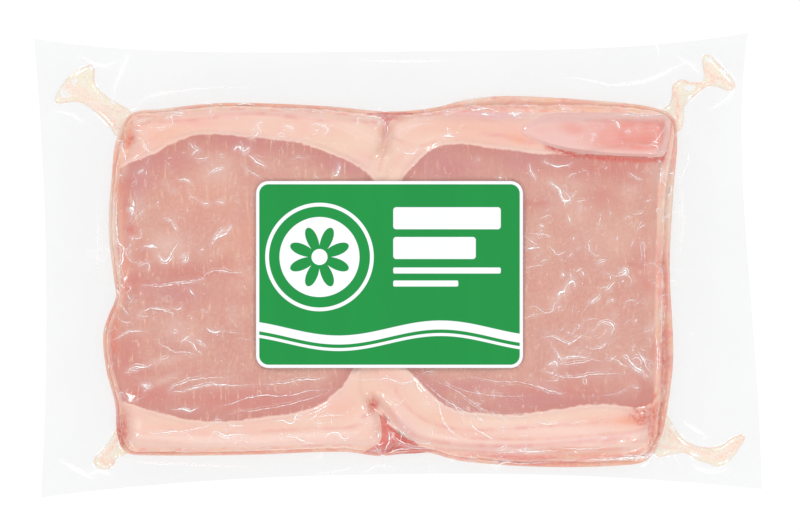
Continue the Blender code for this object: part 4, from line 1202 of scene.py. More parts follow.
def flap_material(colours):
    """The folded rind: whitish along its rim, red through its middle."""
    material, bench = new_material("folded rind")
    place = bench.place()
    mottle = bench.mottle(place, 14.0)
    streaks = bench.group(streak_group(), place, Fineness=(0.1, 0.5, 0.3))["Streaks"]
    redness = bench.times(bench.read("redness"), bench.fade(mottle["Broad"], 0.0, 1.0, 0.85, 1.2))
    colour = bench.layered(
        colours.flap_pale,
        (bench.least(redness, 1.0), colours.flap_red),
        (streaks, colours.flap_pale, 0.2),
    )
    wet_meat(bench, colour, streaks, mottle["Fine"])
    return material


def juice_material(colours):
    """Red juice that fills the gaps between the steaks."""
    material, bench = new_material("meat juice")
    mottle = bench.mottle(bench.place(), 9.0)
    deep = bench.times(bench.read("deep"), bench.fade(mottle["Fine"], 0.0, 1.0, 1.2, 0.8))
    colour = bench.layered(
        colours.blood_pale,
        (mottle["Broad"], colours.fat_rosy, 0.36),
        (bench.least(deep, 1.0), colours.blood),
    )
    wet_meat(bench, colour, mottle["Fine"], mottle["Broad"])
    return material


def pocket_material(colours):
    """Thin juice caught in the corners: cloudy, with pink threads, clear bubbles and a thin rim."""
    material, bench = new_material("caught juice")
    mottle = bench.mottle(bench.place(), 6.0)
    bubble = bench.read("bubble")
    filled = bench.fade(bubble, -0.02, 0.12, 1.0, 0.1)
    bubble_rim = bench.band(bubble, (-0.12, 0.0), (0.0, 0.2))
    rim = bench.fade(bench.read("depth"), 0.1, 0.6, 1.0, 0.0)
    outline = bench.most(rim, bench.times(bubble_rim, 0.8))
    outline = bench.times(outline, bench.fade(mottle["Broad"], 0.1, 0.8, 0.2, 0.8))
    thread = bench.times(bench.read("thread"), bench.fade(mottle["Fine"], 0.0, 0.8, 0.5, 0.9))
    stain = bench.most(outline, thread)
    colour = bench.layered(
        colours.pocket,
        (mottle["Broad"], colours.pocket_cream),
        (stain, colours.pocket_rim),
    )
    cloud = bench.times(bench.fade(mottle["Fine"], 0.0, 1.0, 0.42, 0.58), filled)
    cloud = bench.most(cloud, bench.times(stain, 0.85))
    far_side = bench.add("ShaderNodeNewGeometry", {}).outputs["Backfacing"]
    clear = bench.add("ShaderNodeBsdfTransparent", {}).outputs[0]
    juice = bench.shader(colour, bench.fade(mottle["Fine"], 0.0, 1.0, 0.15, 0.3), Alpha=cloud)
    bench.cover(bench.mixed(far_side, juice, clear))
    return material


def film_material(name, settings):
    """Clear film: grey only by a trace, whiter at creases, partly as painted highlight, and where it is
    hazy, under a clean gloss.
    """
    material, bench = new_material(name)
    place = bench.place()
    mottle = bench.mottle(place, 22.0)
    long_lines = bench.group(crinkle_group(), place, Scale=0.16, Width=0.012)["Lines"]
    hair_place = bench.shift(place, (50.0, 80.0, 0.0))
    hair_lines = bench.group(crinkle_group(), hair_place, Scale=0.42, Width=0.014)["Lines"]
    lines = bench.most(long_lines, bench.times(hair_lines, 0.7))
    lines = bench.times(lines, bench.read("on_meat"))
    hazy = bench.sums("MULTIPLY_ADD", mottle["Fine"], 0.5, 0.5)
    hazy = bench.times(bench.times(bench.read("haze"), hazy), settings.glow)
    hazy = bench.sums("MULTIPLY_ADD", mottle["Broad"], settings.haze, hazy)
    # The hair-thin crease lines are whitened a little: partly the film's own whitening at a crease, partly
    # painted highlight
    white = bench.sums("ADD", bench.sums("ADD", hazy, settings.veil), bench.times(lines, 0.12))
    relief = bench.relief(lines, 0.5, 0.25)
    clear = bench.add("ShaderNodeBsdfTransparent", {"Color": settings.tint}).outputs[0]
    gloss = bench.add("ShaderNodeBsdfGlossy", {"Roughness": 0.12, "Normal": relief}).outputs[0]
    slant = bench.add("ShaderNodeLayerWeight", {"Blend": 0.5, "Normal": relief}).outputs["Facing"]
    gleam = bench.sums("MULTIPLY_ADD", bench.sums("POWER", slant, 5.0), 0.35, 0.04)
    milk = bench.shader((0.93, 0.94, 0.95), 0.35, Normal=relief)
    bench.cover(bench.mixed(white, bench.mixed(gleam, clear, gloss), milk))
    return material


def crest_material():
    """The sharp crests of folds: raised geometry, painted white as a highlight that shows from all round.
    """
    material, bench = new_material("film crest painted highlight")
    # Painted highlight: plain white, shown as strongly as each crest's strength and broken along its length
    broken = bench.fade(bench.noise(bench.place(), 0.7, 3.0, 0.6), 0.36, 0.62, 0.25, 1.0)
    shown = bench.times(broken, bench.read("painted_glint"))
    bench.cover(bench.shader((0.98, 0.98, 0.98), 0.2, Alpha=shown))
    return material


# ---- settings


def linear_colour(name, description, default):
    limits = {"min": 0.0, "max": 1.0, "size": 3, "subtype": "COLOR"}
    return FloatVectorProperty(name=name, description=description, default=default, **limits)


def shade(name, description, red, green, blue):
    """A colour setting whose default is given from 0 to 255."""
    return linear_colour(name, description, srgb(red, green, blue))


class MeatColours(bpy.types.PropertyGroup):
    """Colours of the pork, its fat and its juice."""

    lean: shade("Lean", "Most of the lean face", 194, 138, 124)
    lean_warm: shade("Warm lean", "Yellower areas of the lean", 198, 146, 126)
    lean_deep: shade("Deep lean", "Lean next to the fat", 184, 119, 109)
    lean_rosy: shade("Rosy lean", "Redder bands in the lean", 190, 114, 103)
    lean_mauve: shade("Mauve lean", "Bluer bruised areas of the lean", 185, 117, 116)
    lean_pale: shade("Pale lean", "Whiter areas of the lean", 209, 166, 152)
    lean_fibre: shade("Fibre", "Pale muscle fibres", 215, 173, 148)
    warm: shade("Warm tinge", "Orange juice and skin at edges", 222, 147, 117)
    marbling: shade("Marbling", "Specks of fat in the lean", 217, 188, 176)
    fat: shade("Fat", "Most of the rind fat", 220, 177, 161)
    fat_cream: shade("Cream fat", "Yellower patches of fat", 220, 187, 166)
    fat_pale: shade("Pale fat", "White layers of fat and silverskin", 228, 198, 186)
    fat_rosy: shade("Rosy fat", "Pink layers in the fat", 222, 162, 152)
    fat_mauve: shade("Mauve fat", "Bluish pink layers in the fat", 216, 168, 167)
    fat_seam: shade("Fat seam", "Pink seams along the fat", 216, 152, 142)
    side: shade("Side", "The steaks' pressed sides", 236, 188, 166)
    side_deep: shade("Deep side", "Redder layers in the sides", 226, 152, 130)
    side_tan: shade("Tan side", "Yellower patches of the sides", 226, 178, 142)
    side_rosy: shade("Rosy side", "Red patches of the sides", 219, 130, 116)
    # Painted light along the lower steaks' rim, lifting the shade in the crease under the upper steaks
    ledge_painted_light: shade("Ledge", "The lower steaks' rim under the upper ones", 252, 212, 194)
    side_clear: shade("Clear side", "Sides seen through film that stands clear", 228, 202, 182)
    flap_pale: shade("Pale rind", "Rim of the folded rind", 219, 180, 172)
    flap_red: shade("Red rind", "Middle of the folded rind", 212, 119, 104)
    # Also used for the painted shadow line under the folded rind
    blood: shade("Blood", "Blood in cuts and corners", 194, 74, 60)
    blood_pale: shade("Pale blood", "Thinned blood", 202, 98, 85)
    pocket: shade("Caught juice", "Juice in the flange's corners", 222, 210, 176)
    pocket_cream: shade("Cream juice", "Yellower parts of it", 226, 203, 154)
    pocket_rim: shade("Juice rim", "Rims and threads of the caught juice", 240, 172, 142)


def amount(name, description, default, low=0.0, high=None, **more):
    """A number with its least and perhaps its greatest value."""
    if high is not None:
        more["max"] = high
    return FloatProperty(name=name, description=description, default=default, min=low, **more)


class FilmSettings(bpy.types.PropertyGroup):
    """How fine the film's mesh is and how it shows."""

    front_cell: amount("Front cell", "Width of a face of the front film, in mm", 0.78, 0.5, 5)
    back_cell: amount("Back cell", "Width of a face of the back film, in mm", 1.3, 0.5, 5)
    tint: linear_colour("Tint", "What one layer of film lets through", (0.960, 0.962, 0.963))
    veil: amount("Veil", "Whiteness of the film where it lies smooth", 0.012, 0, 1)
    haze: amount("Haze", "Extra whiteness of the film's broad hazy patches", 0.022, 0, 1)
    glow: amount("Glow", "Extra whiteness round crowded crests", 0.27, 0, 1)
    crinkle_seed: IntProperty(
        name="Crinkle seed", description="Picks another set of short crinkles", default=5, min=0
    )


class LabelSettings(bpy.types.PropertyGroup):
    """Colours of the label."""

    green: shade("Green", "The label's printed ground", 25, 130, 60)
    white: shade("White", "The label's border and shapes", 221, 223, 228)


class StageSettings(bpy.types.PropertyGroup):
    """Camera and studio light."""

    lens: amount("Lens", "Focal length of the camera, in mm", 700, 20)
    view_width: amount("View width", "Width of the view at the pack's top", 320 * MM, 0, unit="LENGTH")
    sky: amount("Sky", "Brightness of the light all round", 0.925)
    lamp: amount("Lamp", "Power of each small lamp, in watts", 2.0)
    glow: amount("Glow", "Light given off by the floor", 0.935)


class PackSettings(bpy.types.PropertyGroup):
    """Everything the pack's operators read."""

    meat: PointerProperty(type=MeatColours)
    film: PointerProperty(type=FilmSettings)
    label: PointerProperty(type=LabelSettings)
    stage: PointerProperty(type=StageSettings)


# ---- the steaks


# Where juice, not the top steak, reaches the film's wall
CUT_BACK = ((3, -69, 8, 6, 1.3), (-4, 61, 6, 3, 0.6))


def half_block(side):
    """The outline of one stack's lower steak: the block's, cut along the seam."""
    curve = smooth_line(BLOCK, steps=10, closed=True)
    seam = smooth_line(SEAM, steps=6)[::-1]
    seam_x = np.interp(curve[:, 1], seam[:, 1], seam[:, 0])
    keep = (curve[:, 0] - seam_x) * side > 0
    start = int(np.argmax(keep & ~np.roll(keep, 1)))
    kept = np.roll(curve, -start, axis=0)[: int(keep.sum())]
    ends = sorted((kept[0, 1], kept[-1, 1]))
    middle = seam[(seam[:, 1] > ends[0] + 0.5) & (seam[:, 1] < ends[1] - 0.5)]
    if kept[-1, 1] > kept[0, 1]:
        middle = middle[::-1]
    return np.vstack([kept, middle])


def steak_outline(outline):
    """A top steak's outline, let out from its shoulder down to the ledge, and pressed to the other's."""
    curve = smooth_line(outline, steps=6, closed=True)
    ahead, behind = np.roll(curve, -1, axis=0), np.roll(curve, 1, axis=0)
    run = ahead - behind
    outward = np.column_stack([-run[:, 1], run[:, 0]])
    outward /= np.linalg.norm(outward, axis=1, keepdims=True)
    band = inside_distance(BLOCK, curve[:, 0], curve[:, 1])
    ledge = LEAST_WALL * LEDGE_SHARE
    reach = np.minimum(band * (1 - LEDGE_SHARE), band - ledge)
    from_seam = distance_to_line(SEAM, curve[:, 0], curve[:, 1])
    reach = np.clip(reach, -0.5, 0.2 + 3.4 * ease((from_seam - 2) / 6))
    joined = ease((inside_bridge(curve[:, 1]) + 5) / 3) * (from_seam < 5)
    reach = reach * (1 - joined) + (from_seam + SEAM_OVERLAP) * joined
    reach = reach * (1 - patched(CUT_BACK, curve[:, 0], curve[:, 1]))
    return curve + outward * reach[:, None]


def sunk_at_seam(x, y, side):
    """How far a top steak's edge dips where it runs on under the other one, past the seam."""
    seam = np.array(SEAM[::-1], float)
    past = (x - np.interp(y, seam[:, 1], seam[:, 0])) * -side
    return SEAM_DIP * ease(past / SEAM_OVERLAP) * (inside_bridge(y) > -4)


def under_film(x, y, with_flap=True):
    return top_height(x, y, with_flap) - FILM_GAP


class PORK_OT_lower_steaks(bpy.types.Operator):
    """Builds the bottom steak of each stack, which shows at the sides and below"""

    bl_idname = "pork_pack.lower_steaks"
    bl_label = "Lower Steaks"

    def execute(self, context):
        material = pork_material(context.scene.pork_pack.meat)

        def top(x, y):
            return np.minimum(under_film(x, y), LOWER_TOP)

        def bottom(x, y):
            return np.minimum(bottom_height(x, y) + FILM_GAP, under_film(x, y) - 0.3)

        corners = {
            -1: ((-109, -75), (-7, -77), (-5, 62), (-108, 60)),
            1: ((-7, -77), (103, -76), (110, 60), (-5, 62)),
        }
        for side, name in ((-1, "lower_steak_left"), (1, "lower_steak_right")):
            places = stretched_grid(half_block(side), corners[side], *LOWER_GRID)
            slab_piece(name, places, top, bottom, pork_values, material)
        return {"FINISHED"}


class PORK_OT_upper_steaks(bpy.types.Operator):
    """Builds the top steak of each stack, with its lean face, rind fat and hinge crease"""

    bl_idname = "pork_pack.upper_steaks"
    bl_label = "Upper Steaks"

    def execute(self, context):
        material = pork_material(context.scene.pork_pack.meat)

        def left_top(x, y):
            return under_film(x, y) - sunk_at_seam(x, y, -1)

        def right_top(x, y):
            return under_film(x, y, with_flap=False) - sunk_at_seam(x, y, 1)

        def base(x, y):
            return np.minimum(UPPER_BASE, under_film(x, y) - 0.2)

        left_corners = ((-107, -72), (-7, -71), (-6, 57), (-108, 57))
        right_corners = ((4, -69), (99, -71), (107, 58), (-3.4, 57))
        for name, outline, corners, top in (
            ("upper_steak_left", LEFT_STEAK, left_corners, left_top),
            ("upper_steak_right", RIGHT_STEAK, right_corners, right_top),
        ):
            places = stretched_grid(steak_outline(outline), corners, *UPPER_GRID)
            slab_piece(name, places, top, base, pork_values, material)
        return {"FINISHED"}


# Red patches of the folded rind
FLAP_BLUSHES = (
    (94, 52, 18, 7.4, 1.2, 4), (100, 55, 12, 5, 1), (84, 56.4, 9, 4, 0.7), (70, 54.6, 7, 3.2, 0.6, -8),
    (58, 54, 7, 3, 0.2), (84, 60, 16, 1.4, 0.5),
)


class PORK_OT_rind_flap(bpy.types.Operator):
    """Builds the end of the rind that is folded back over the right steak"""

    bl_idname = "pork_pack.rind_flap"
    bl_label = "Folded Rind"

    def execute(self, context):
        material = flap_material(context.scene.pork_pack.meat)
        outline = smooth_line(FLAP, steps=10, closed=True)

        def bottom(x, y):
            return under_film(x, y, with_flap=False) + 0.05

        def top(x, y):
            return np.maximum(under_film(x, y), bottom(x, y) + 0.05)

        def describe(x, y, on_top):
            rim = ease((inside_distance(FLAP, x, y) - 0.5) / 3.0)
            return {"redness": np.clip(patched(FLAP_BLUSHES, x, y) * rim, 0.12, 0.72)}

        places = stretched_grid(outline, ((50, 53), (106.8, 44), (108, 60), (53, 57.4)), 120, 50, 0.5)
        slab_piece("folded_rind", places, top, bottom, describe, material)
        return {"FINISHED"}


JUICE_POOLS = {
    "juice_near": (
        (-13, -52), (-9, -50), (-5, -54), (1, -61), (8, -67), (18, -72.4), (12, -75), (0, -75.8),
        (-7, -76), (-13, -74.6), (-11, -70), (-9, -62),
    ),
    "juice_far": ((-9, 46), (-3, 46), (-1, 54), (6, 60), (0, 61.2), (-10, 61), (-13, 60), (-8, 54)),
}
DEEP_JUICE = (
    (0.4, -69.2, 3, 2, 0.5), (-0.4, -67.4, 7.4, 2.6, 1, -41), (3.2, -70, 5, 1.8, 0.9, -25),
    (-9.8, -56, 2.4, 1.8, 1), (-5.4, -72, 2.4, 3, 0.6), (-4.6, 57, 2, 3, 0.2), (-5, -64, 1.4, 4, 0.7),
)


class PORK_OT_juice(bpy.types.Operator):
    """Builds the red juice that stands in the gaps at both ends of the seam"""

    bl_idname = "pork_pack.juice"
    bl_label = "Juice"

    def execute(self, context):
        material = juice_material(context.scene.pork_pack.meat)

        def top(x, y):
            return under_film(x, y) - JUICE_GAP

        def bottom(x, y):
            return np.full(x.shape, JUICE_BASE)

        corners = {
            "juice_near": ((-13, -74.6), (12, -74.4), (-6, -51), (-12, -51)),
            "juice_far": ((-9, 46), (-3, 46), (5, 60), (-12, 60)),
        }
        for name, points in JUICE_POOLS.items():
            outline = smooth_line(points, steps=6, closed=True)
            places = stretched_grid(outline, corners[name], 40, 40, 0.2)
            slab_piece(name, places, top, bottom, self.depth, material)
        return {"FINISHED"}

    def depth(self, x, y, on_top):
        return {"deep": patched(DEEP_JUICE, x, y)}


class PORK_OT_caught_juice(bpy.types.Operator):
    """Builds the thin juice caught between the films in each corner"""

    bl_idname = "pork_pack.caught_juice"
    bl_label = "Caught Juice"

    def execute(self, context):
        material = pocket_material(context.scene.pork_pack.meat)
        for corner, outline in POCKETS.items():
            self.make_pocket("caught_juice_" + corner, outline, material)
        return {"FINISHED"}

    def make_pocket(self, name, outline, material):
        """A thin lens: a fine grid whose outermost points are drawn onto the outline."""
        cell, edge = 0.4, 0.7
        corners = np.array(outline, float)
        low, high = corners.min(axis=0) - 2 * cell, corners.max(axis=0) + 2 * cell
        counts = np.ceil((high - low) / cell).astype(int) + 1
        mesh, column, row, _ = grid_mesh(name, counts[1], counts[0], closed=False)
        x, y = low[0] + column * cell, low[1] + row * cell
        far_out = inside_distance(outline, x, y) < -edge
        for _ in range(3):
            x, y = self.drawn_to_rim(outline, x, y, edge)
        sheet = bmesh.new()
        sheet.from_mesh(mesh)
        for vertex, place_x, place_y in zip(sheet.verts, x, y):
            vertex.co = (place_x * MM, place_y * MM, 0)
        empty = [vertex for vertex, gone in zip(sheet.verts, far_out) if gone]
        bmesh.ops.delete(sheet, geom=empty, context="VERTS")
        bmesh.ops.dissolve_degenerate(sheet, dist=0.03 * MM, edges=sheet.edges[:])
        thicken(sheet, MM)
        sheet.to_mesh(mesh)
        sheet.free()
        x, y, level = read_points(mesh) / MM
        depth = inside_distance(outline, x, y)
        middle = flange_middle(x, y, -inside_distance(BLOCK, x, y))
        half = np.maximum(pocket_thickness(depth) - 0.1, 0.05)
        set_points(mesh, x, y, middle + np.where(level > -0.5, half, -half))
        bubbles = np.full(x.shape, -1.0)
        for bubble_x, bubble_y, along, across, turn in POCKET_BUBBLES:
            off_x, off_y = turned(x - bubble_x, y - bubble_y, turn)
            bubbles = np.maximum(bubbles, 1 - np.hypot(off_x / along, off_y / across))
        set_values(mesh, {"depth": depth, "bubble": bubbles, "thread": threaded(POCKET_THREADS, x, y)})
        placed(name, mesh, material)

    def drawn_to_rim(self, outline, x, y, edge):
        """Moves the points near the rim onto it."""
        step = 0.1
        depth = inside_distance(outline, x, y)
        slope_x = (inside_distance(outline, x + step, y) - depth) / step
        slope_y = (inside_distance(outline, x, y + step) - depth) / step
        steepness = np.maximum(slope_x**2 + slope_y**2, 0.2)
        near_rim = (depth > -edge) & (depth < 0.15)
        move = np.where(near_rim, -depth / steepness, 0)
        return x + slope_x * move, y + slope_y * move


# ---- the film


class PORK_OT_film(bpy.types.Operator):
    """Builds the front and back films, shrunk onto the meat and sealed together round it"""

    bl_idname = "pork_pack.film"
    bl_label = "Film"

    def execute(self, context):
        settings = context.scene.pork_pack.film
        front = film_material("clear film front", settings)
        back = film_material("clear film back", settings)
        haze = haze_field(settings.crinkle_seed)

        def front_haze(x, y):
            milky = np.maximum(0.5 * slack_film(x, y), patched(VEILS, x, y))
            return np.maximum(read_field(haze, x, y), milky) * (1 - patched(CLEAR_FILM, x, y))

        self.make_film("film_front", settings.front_cell, film_front_height, front_haze, front)
        self.make_film("film_back", settings.back_cell, self.back_height, slack_film, back)
        return {"FINISHED"}

    def back_height(self, x, y):
        """The back film lies on the table, with a few shallow folds that stand off it."""
        folds = creases(x, y, 15, 0.2, 31) * ease(rolling(x, y, 22, 32) * 3)
        block = inside_distance(BLOCK, x, y)
        return bottom_height(x, y) + 0.12 * folds * ease(block / 5)

    def make_film(self, name, cell, height, haze, material):
        along, across = round(POUCH_LENGTH / cell) + 1, round(POUCH_WIDTH / cell) + 1
        mesh, column, row, _ = grid_mesh(name, across, along, closed=False)
        x, y = pouch_plan(column / (along - 1), row / (across - 1))
        set_points(mesh, x, y, height(x, y))
        set_values(mesh, {"haze": haze(x, y), "on_meat": ease(inside_distance(BLOCK, x, y) / 3)})
        placed(name, mesh, material)


@functools.lru_cache(maxsize=None)
def crest_lines(seed):
    """Every fold's crest: its line of points, its width and how brightly its painted highlight shows."""
    rng = np.random.default_rng(seed)
    crests = []
    for bright, width, *places in HAND_FOLDS:
        line = wavering(smooth_line(in_pairs(places)))
        crests.append((line, width * 0.8, bright))
        for likelihood in (0.7, 0.45):
            if rng.random() < likelihood:
                second = beside(rng, line)
                crests.append((second, width * rng.uniform(0.4, 0.6), bright * rng.uniform(0.45, 0.8)))
    for x, y, spread_x, spread_y, count, heading in CRINKLE_PATCHES:
        for _ in range(count):
            start = np.array([x + rng.normal() * spread_x, y + rng.normal() * spread_y])
            turn = math.radians(heading + rng.normal() * 30)
            bright = 0.2 + 0.65 * rng.random() ** 2
            width = rng.uniform(0.2, 0.42)
            if rng.random() < 0.18:
                crests += [(line, width * 0.8, bright) for line in leaf(rng, start, turn)]
            else:
                crests.append((curl(rng, start, turn), width, bright))
    return [crest for crest in crests if clear_of_label(crest[0])] + rim_crests(rng)


def wavering(line):
    """A fold's line with a slight tremble."""
    off_x = rolling(line[:, 0], line[:, 1], 1.7, 41)
    off_y = rolling(line[:, 0], line[:, 1], 1.7, 42)
    return line + 0.34 * np.column_stack([off_x, off_y])


def across_line(line):
    """The level direction across a line at each of its points, one long."""
    run = np.gradient(line, axis=0)
    across = np.column_stack([-run[:, 1], run[:, 0]])
    return across / np.maximum(np.linalg.norm(across, axis=1, keepdims=True), 1e-6)


def beside(rng, line):
    """The fainter far side of a pinched fold, which strays from its crest and comes back."""
    share = np.linspace(0, 1, len(line))
    stray = rng.choice((-1, 1)) * rng.uniform(0.5, 1.1) * np.sin(np.pi * share) ** 0.7
    first, last = sorted(rng.uniform(0, 1, 2) * (0.35, 0.35) + (0, 0.65))
    kept = (share >= first) & (share <= max(last, first + 0.3))
    return (line + across_line(line) * stray[:, None])[kept]


def rim_crests(rng):
    """Short crinkles that run round the sides of the pack."""
    rim = smooth_line(BLOCK, steps=10, closed=True)
    middle = rim.mean(axis=0)
    crests = []
    for _ in range(RIM_CRINKLES):
        place = int(rng.integers(len(rim)))
        run = rim[(place + 1) % len(rim)] - rim[place - 1]
        inward = middle - rim[place]
        start = rim[place] + inward / np.hypot(*inward) * rng.uniform(0.4, 4.6)
        heading = math.atan2(run[1], run[0]) + rng.normal() * 0.35
        crests.append((curl(rng, start, heading), rng.uniform(0.2, 0.4), 0.3 + 0.7 * rng.random() ** 2))
    return crests


CURL_STEP = 0.3


def curl(rng, start, heading):
    """A crinkle that wanders along its heading, and may hook at its end."""
    length = 1.0 + rng.gamma(1.3, 1.9)
    steps = max(6, int(length / CURL_STEP))
    bend, hook = rng.normal() * 0.05, rng.normal() * 0.10
    points = [start]
    for step in range(steps):
        bend = 0.9 * bend + rng.normal() * 0.05
        heading += bend + hook * (step / steps) ** 3 * 3
        points.append(points[-1] + CURL_STEP * np.array([math.cos(heading), math.sin(heading)]))
    return np.array(points)


def leaf(rng, start, heading):
    """The two edges of a narrow leaf-shaped fold."""
    length, width = rng.uniform(1.8, 5.0), rng.uniform(0.3, 0.8)
    share = np.linspace(0, 1, 12)
    ahead = np.array([math.cos(heading), math.sin(heading)])
    across = np.array([-ahead[1], ahead[0]])
    bow = rng.normal() * 0.4
    sides = []
    for sign in (-1, 1):
        off = np.sin(np.pi * share) * (bow + sign * width) + 0.2 * np.sin(2 * np.pi * share)
        sides.append(start + ahead * (length * share)[:, None] + across * off[:, None])
    return sides


def clear_of_label(line):
    return float(outside_label(line[:, 0], line[:, 1]).min()) > 0.5


GLOW_SPREAD = 1.1
GLOW_GAIN = 3.0


@functools.lru_cache(maxsize=None)
def haze_field(seed):
    """A pale glow round the crests, strongest where they crowd together."""
    field = np.zeros((len(FIELD_Y), len(FIELD_X)))
    for line, width, bright in crest_lines(seed):
        column = np.clip(np.rint((line[:, 0] - FIELD_X[0]) / FIELD_STEP), 0, len(FIELD_X) - 1)
        row = np.clip(np.rint((line[:, 1] - FIELD_Y[0]) / FIELD_STEP), 0, len(FIELD_Y) - 1)
        np.add.at(field, (row.astype(int), column.astype(int)), bright * width)
    reach = np.arange(-6, 7) * FIELD_STEP
    weights = np.exp(-((reach / GLOW_SPREAD) ** 2))
    weights /= weights.sum()
    field = np.apply_along_axis(np.convolve, 0, field, weights, "same")
    field = np.apply_along_axis(np.convolve, 1, field, weights, "same")
    return 1 - np.exp(-field * GLOW_GAIN)


CREST_STEEPNESS = 0.9
CREST_GAP = 0.1


class PORK_OT_film_crests(bpy.types.Operator):
    """Builds the sharp crests of folds and crinkles that stand up from the front film, painted white as
    highlights
    """

    bl_idname = "pork_pack.film_crests"
    bl_label = "Film Crests"

    def execute(self, context):
        points, faces, painted_glint, first = [], [], [], 0
        for line, width, bright in crest_lines(context.scene.pork_pack.film.crinkle_seed):
            count = len(line)
            points += self.roof(line, width)
            # Each crest's painted highlight strength, fading towards both ends
            painted_glint += [bright * np.sin(np.pi * np.linspace(0, 1, count)) ** 0.4] * 3
            for corner in [*range(first, first + count - 1), *range(first + count, first + 2 * count - 1)]:
                faces.append((corner, corner + 1, corner + 1 + count, corner + count))
            first += 3 * count
        mesh = bpy.data.meshes.new("film_crests")
        mesh.from_pydata(np.vstack(points) * MM, [], faces)
        set_values(mesh, {"painted_glint": np.concatenate(painted_glint)})
        placed("film_crests", mesh, crest_material())
        return {"FINISHED"}

    def roof(self, line, width):
        """The near edge, crest and far edge of a low roof that narrows to nothing at both ends."""
        share = np.linspace(0, 1, len(line))
        half = width / 2 * np.maximum(np.sin(np.pi * share), 0.04) ** 0.7
        rows = []
        for offset, lift in ((-1, 0.0), (0, CREST_STEEPNESS), (1, 0.0)):
            spot = line + across_line(line) * (half * offset)[:, None]
            height = film_front_height(spot[:, 0], spot[:, 1]) + CREST_GAP + lift * half
            rows.append(np.column_stack([spot, height]))
        return rows


# ---- the label


def rounded_outline(length, width, corner, steps=8):
    """A rectangle's outline with round corners, about its middle."""
    points = []
    for quarter, (sign_x, sign_y) in enumerate(((1, 1), (-1, 1), (-1, -1), (1, -1))):
        for angle in np.linspace(quarter, quarter + 1, steps) * np.pi / 2:
            x = sign_x * (length / 2 - corner) + corner * np.cos(angle)
            y = sign_y * (width / 2 - corner) + corner * np.sin(angle)
            points.append((x, y))
    return np.array(points)


def panel_group():
    """1 inside a rectangle with round corners, 0 outside it."""

    def build(bench, given):
        place = bench.split(given["Vector"])
        middle = bench.split(given["Middle"])
        half = bench.split(given["Half Size"])
        over = []
        for axis in ("X", "Y"):
            off = bench.sums("ABSOLUTE", bench.sums("SUBTRACT", place[axis], middle[axis]))
            core = bench.sums("SUBTRACT", half[axis], given["Corner"])
            over.append(bench.sums("SUBTRACT", off, core))
        squares = [bench.sums("POWER", bench.most(value, 0.0), 2.0) for value in over]
        reach = bench.sums("SQRT", bench.sums("ADD", *squares))
        within = bench.least(bench.most(*over), 0.0)
        distance = bench.sums("SUBTRACT", bench.sums("ADD", reach, within), given["Corner"])
        return {"Inside": bench.fade(distance, -0.12, 0.12, 1.0, 0.0)}

    inputs = {"Vector": (0, 0, 0), "Middle": (0, 0, 0), "Half Size": (1, 1, 0), "Corner": 1.0}
    return shared_group("round panel", inputs, build)


# The label's plain white shapes: middle x and y, half length and width, corner
LABEL_BARS = (
    (23.0, 22.5, 21.5, 4.4, 1.2),
    (18.0, 10.6, 16.5, 4.4, 1.2),
    (23.0, 1.6, 21.5, 1.2, 0.6),
    (14.5, -3.6, 13.0, 1.2, 0.6),
)
# The heights of its white waves: lower and upper edge
LABEL_WAVES = ((-25.0, -21.4), (-27.6, -26.4))
WAVE_SWING = 3.0
WAVE_STRETCH = 13.0
# The ringed disc: its middle, the ring's inner and outer edge, the disc's edge and the flower in it
DISC_MIDDLE = (-28.0, 7.0)
RING = (20.2, 21.7)
DISC = 16.0
FLOWER_HEART = 3.2
PETAL_FOOT = 4.6
PETAL_LENGTH = 8.0
PETALS = 8
PRINT_EDGE = 0.1


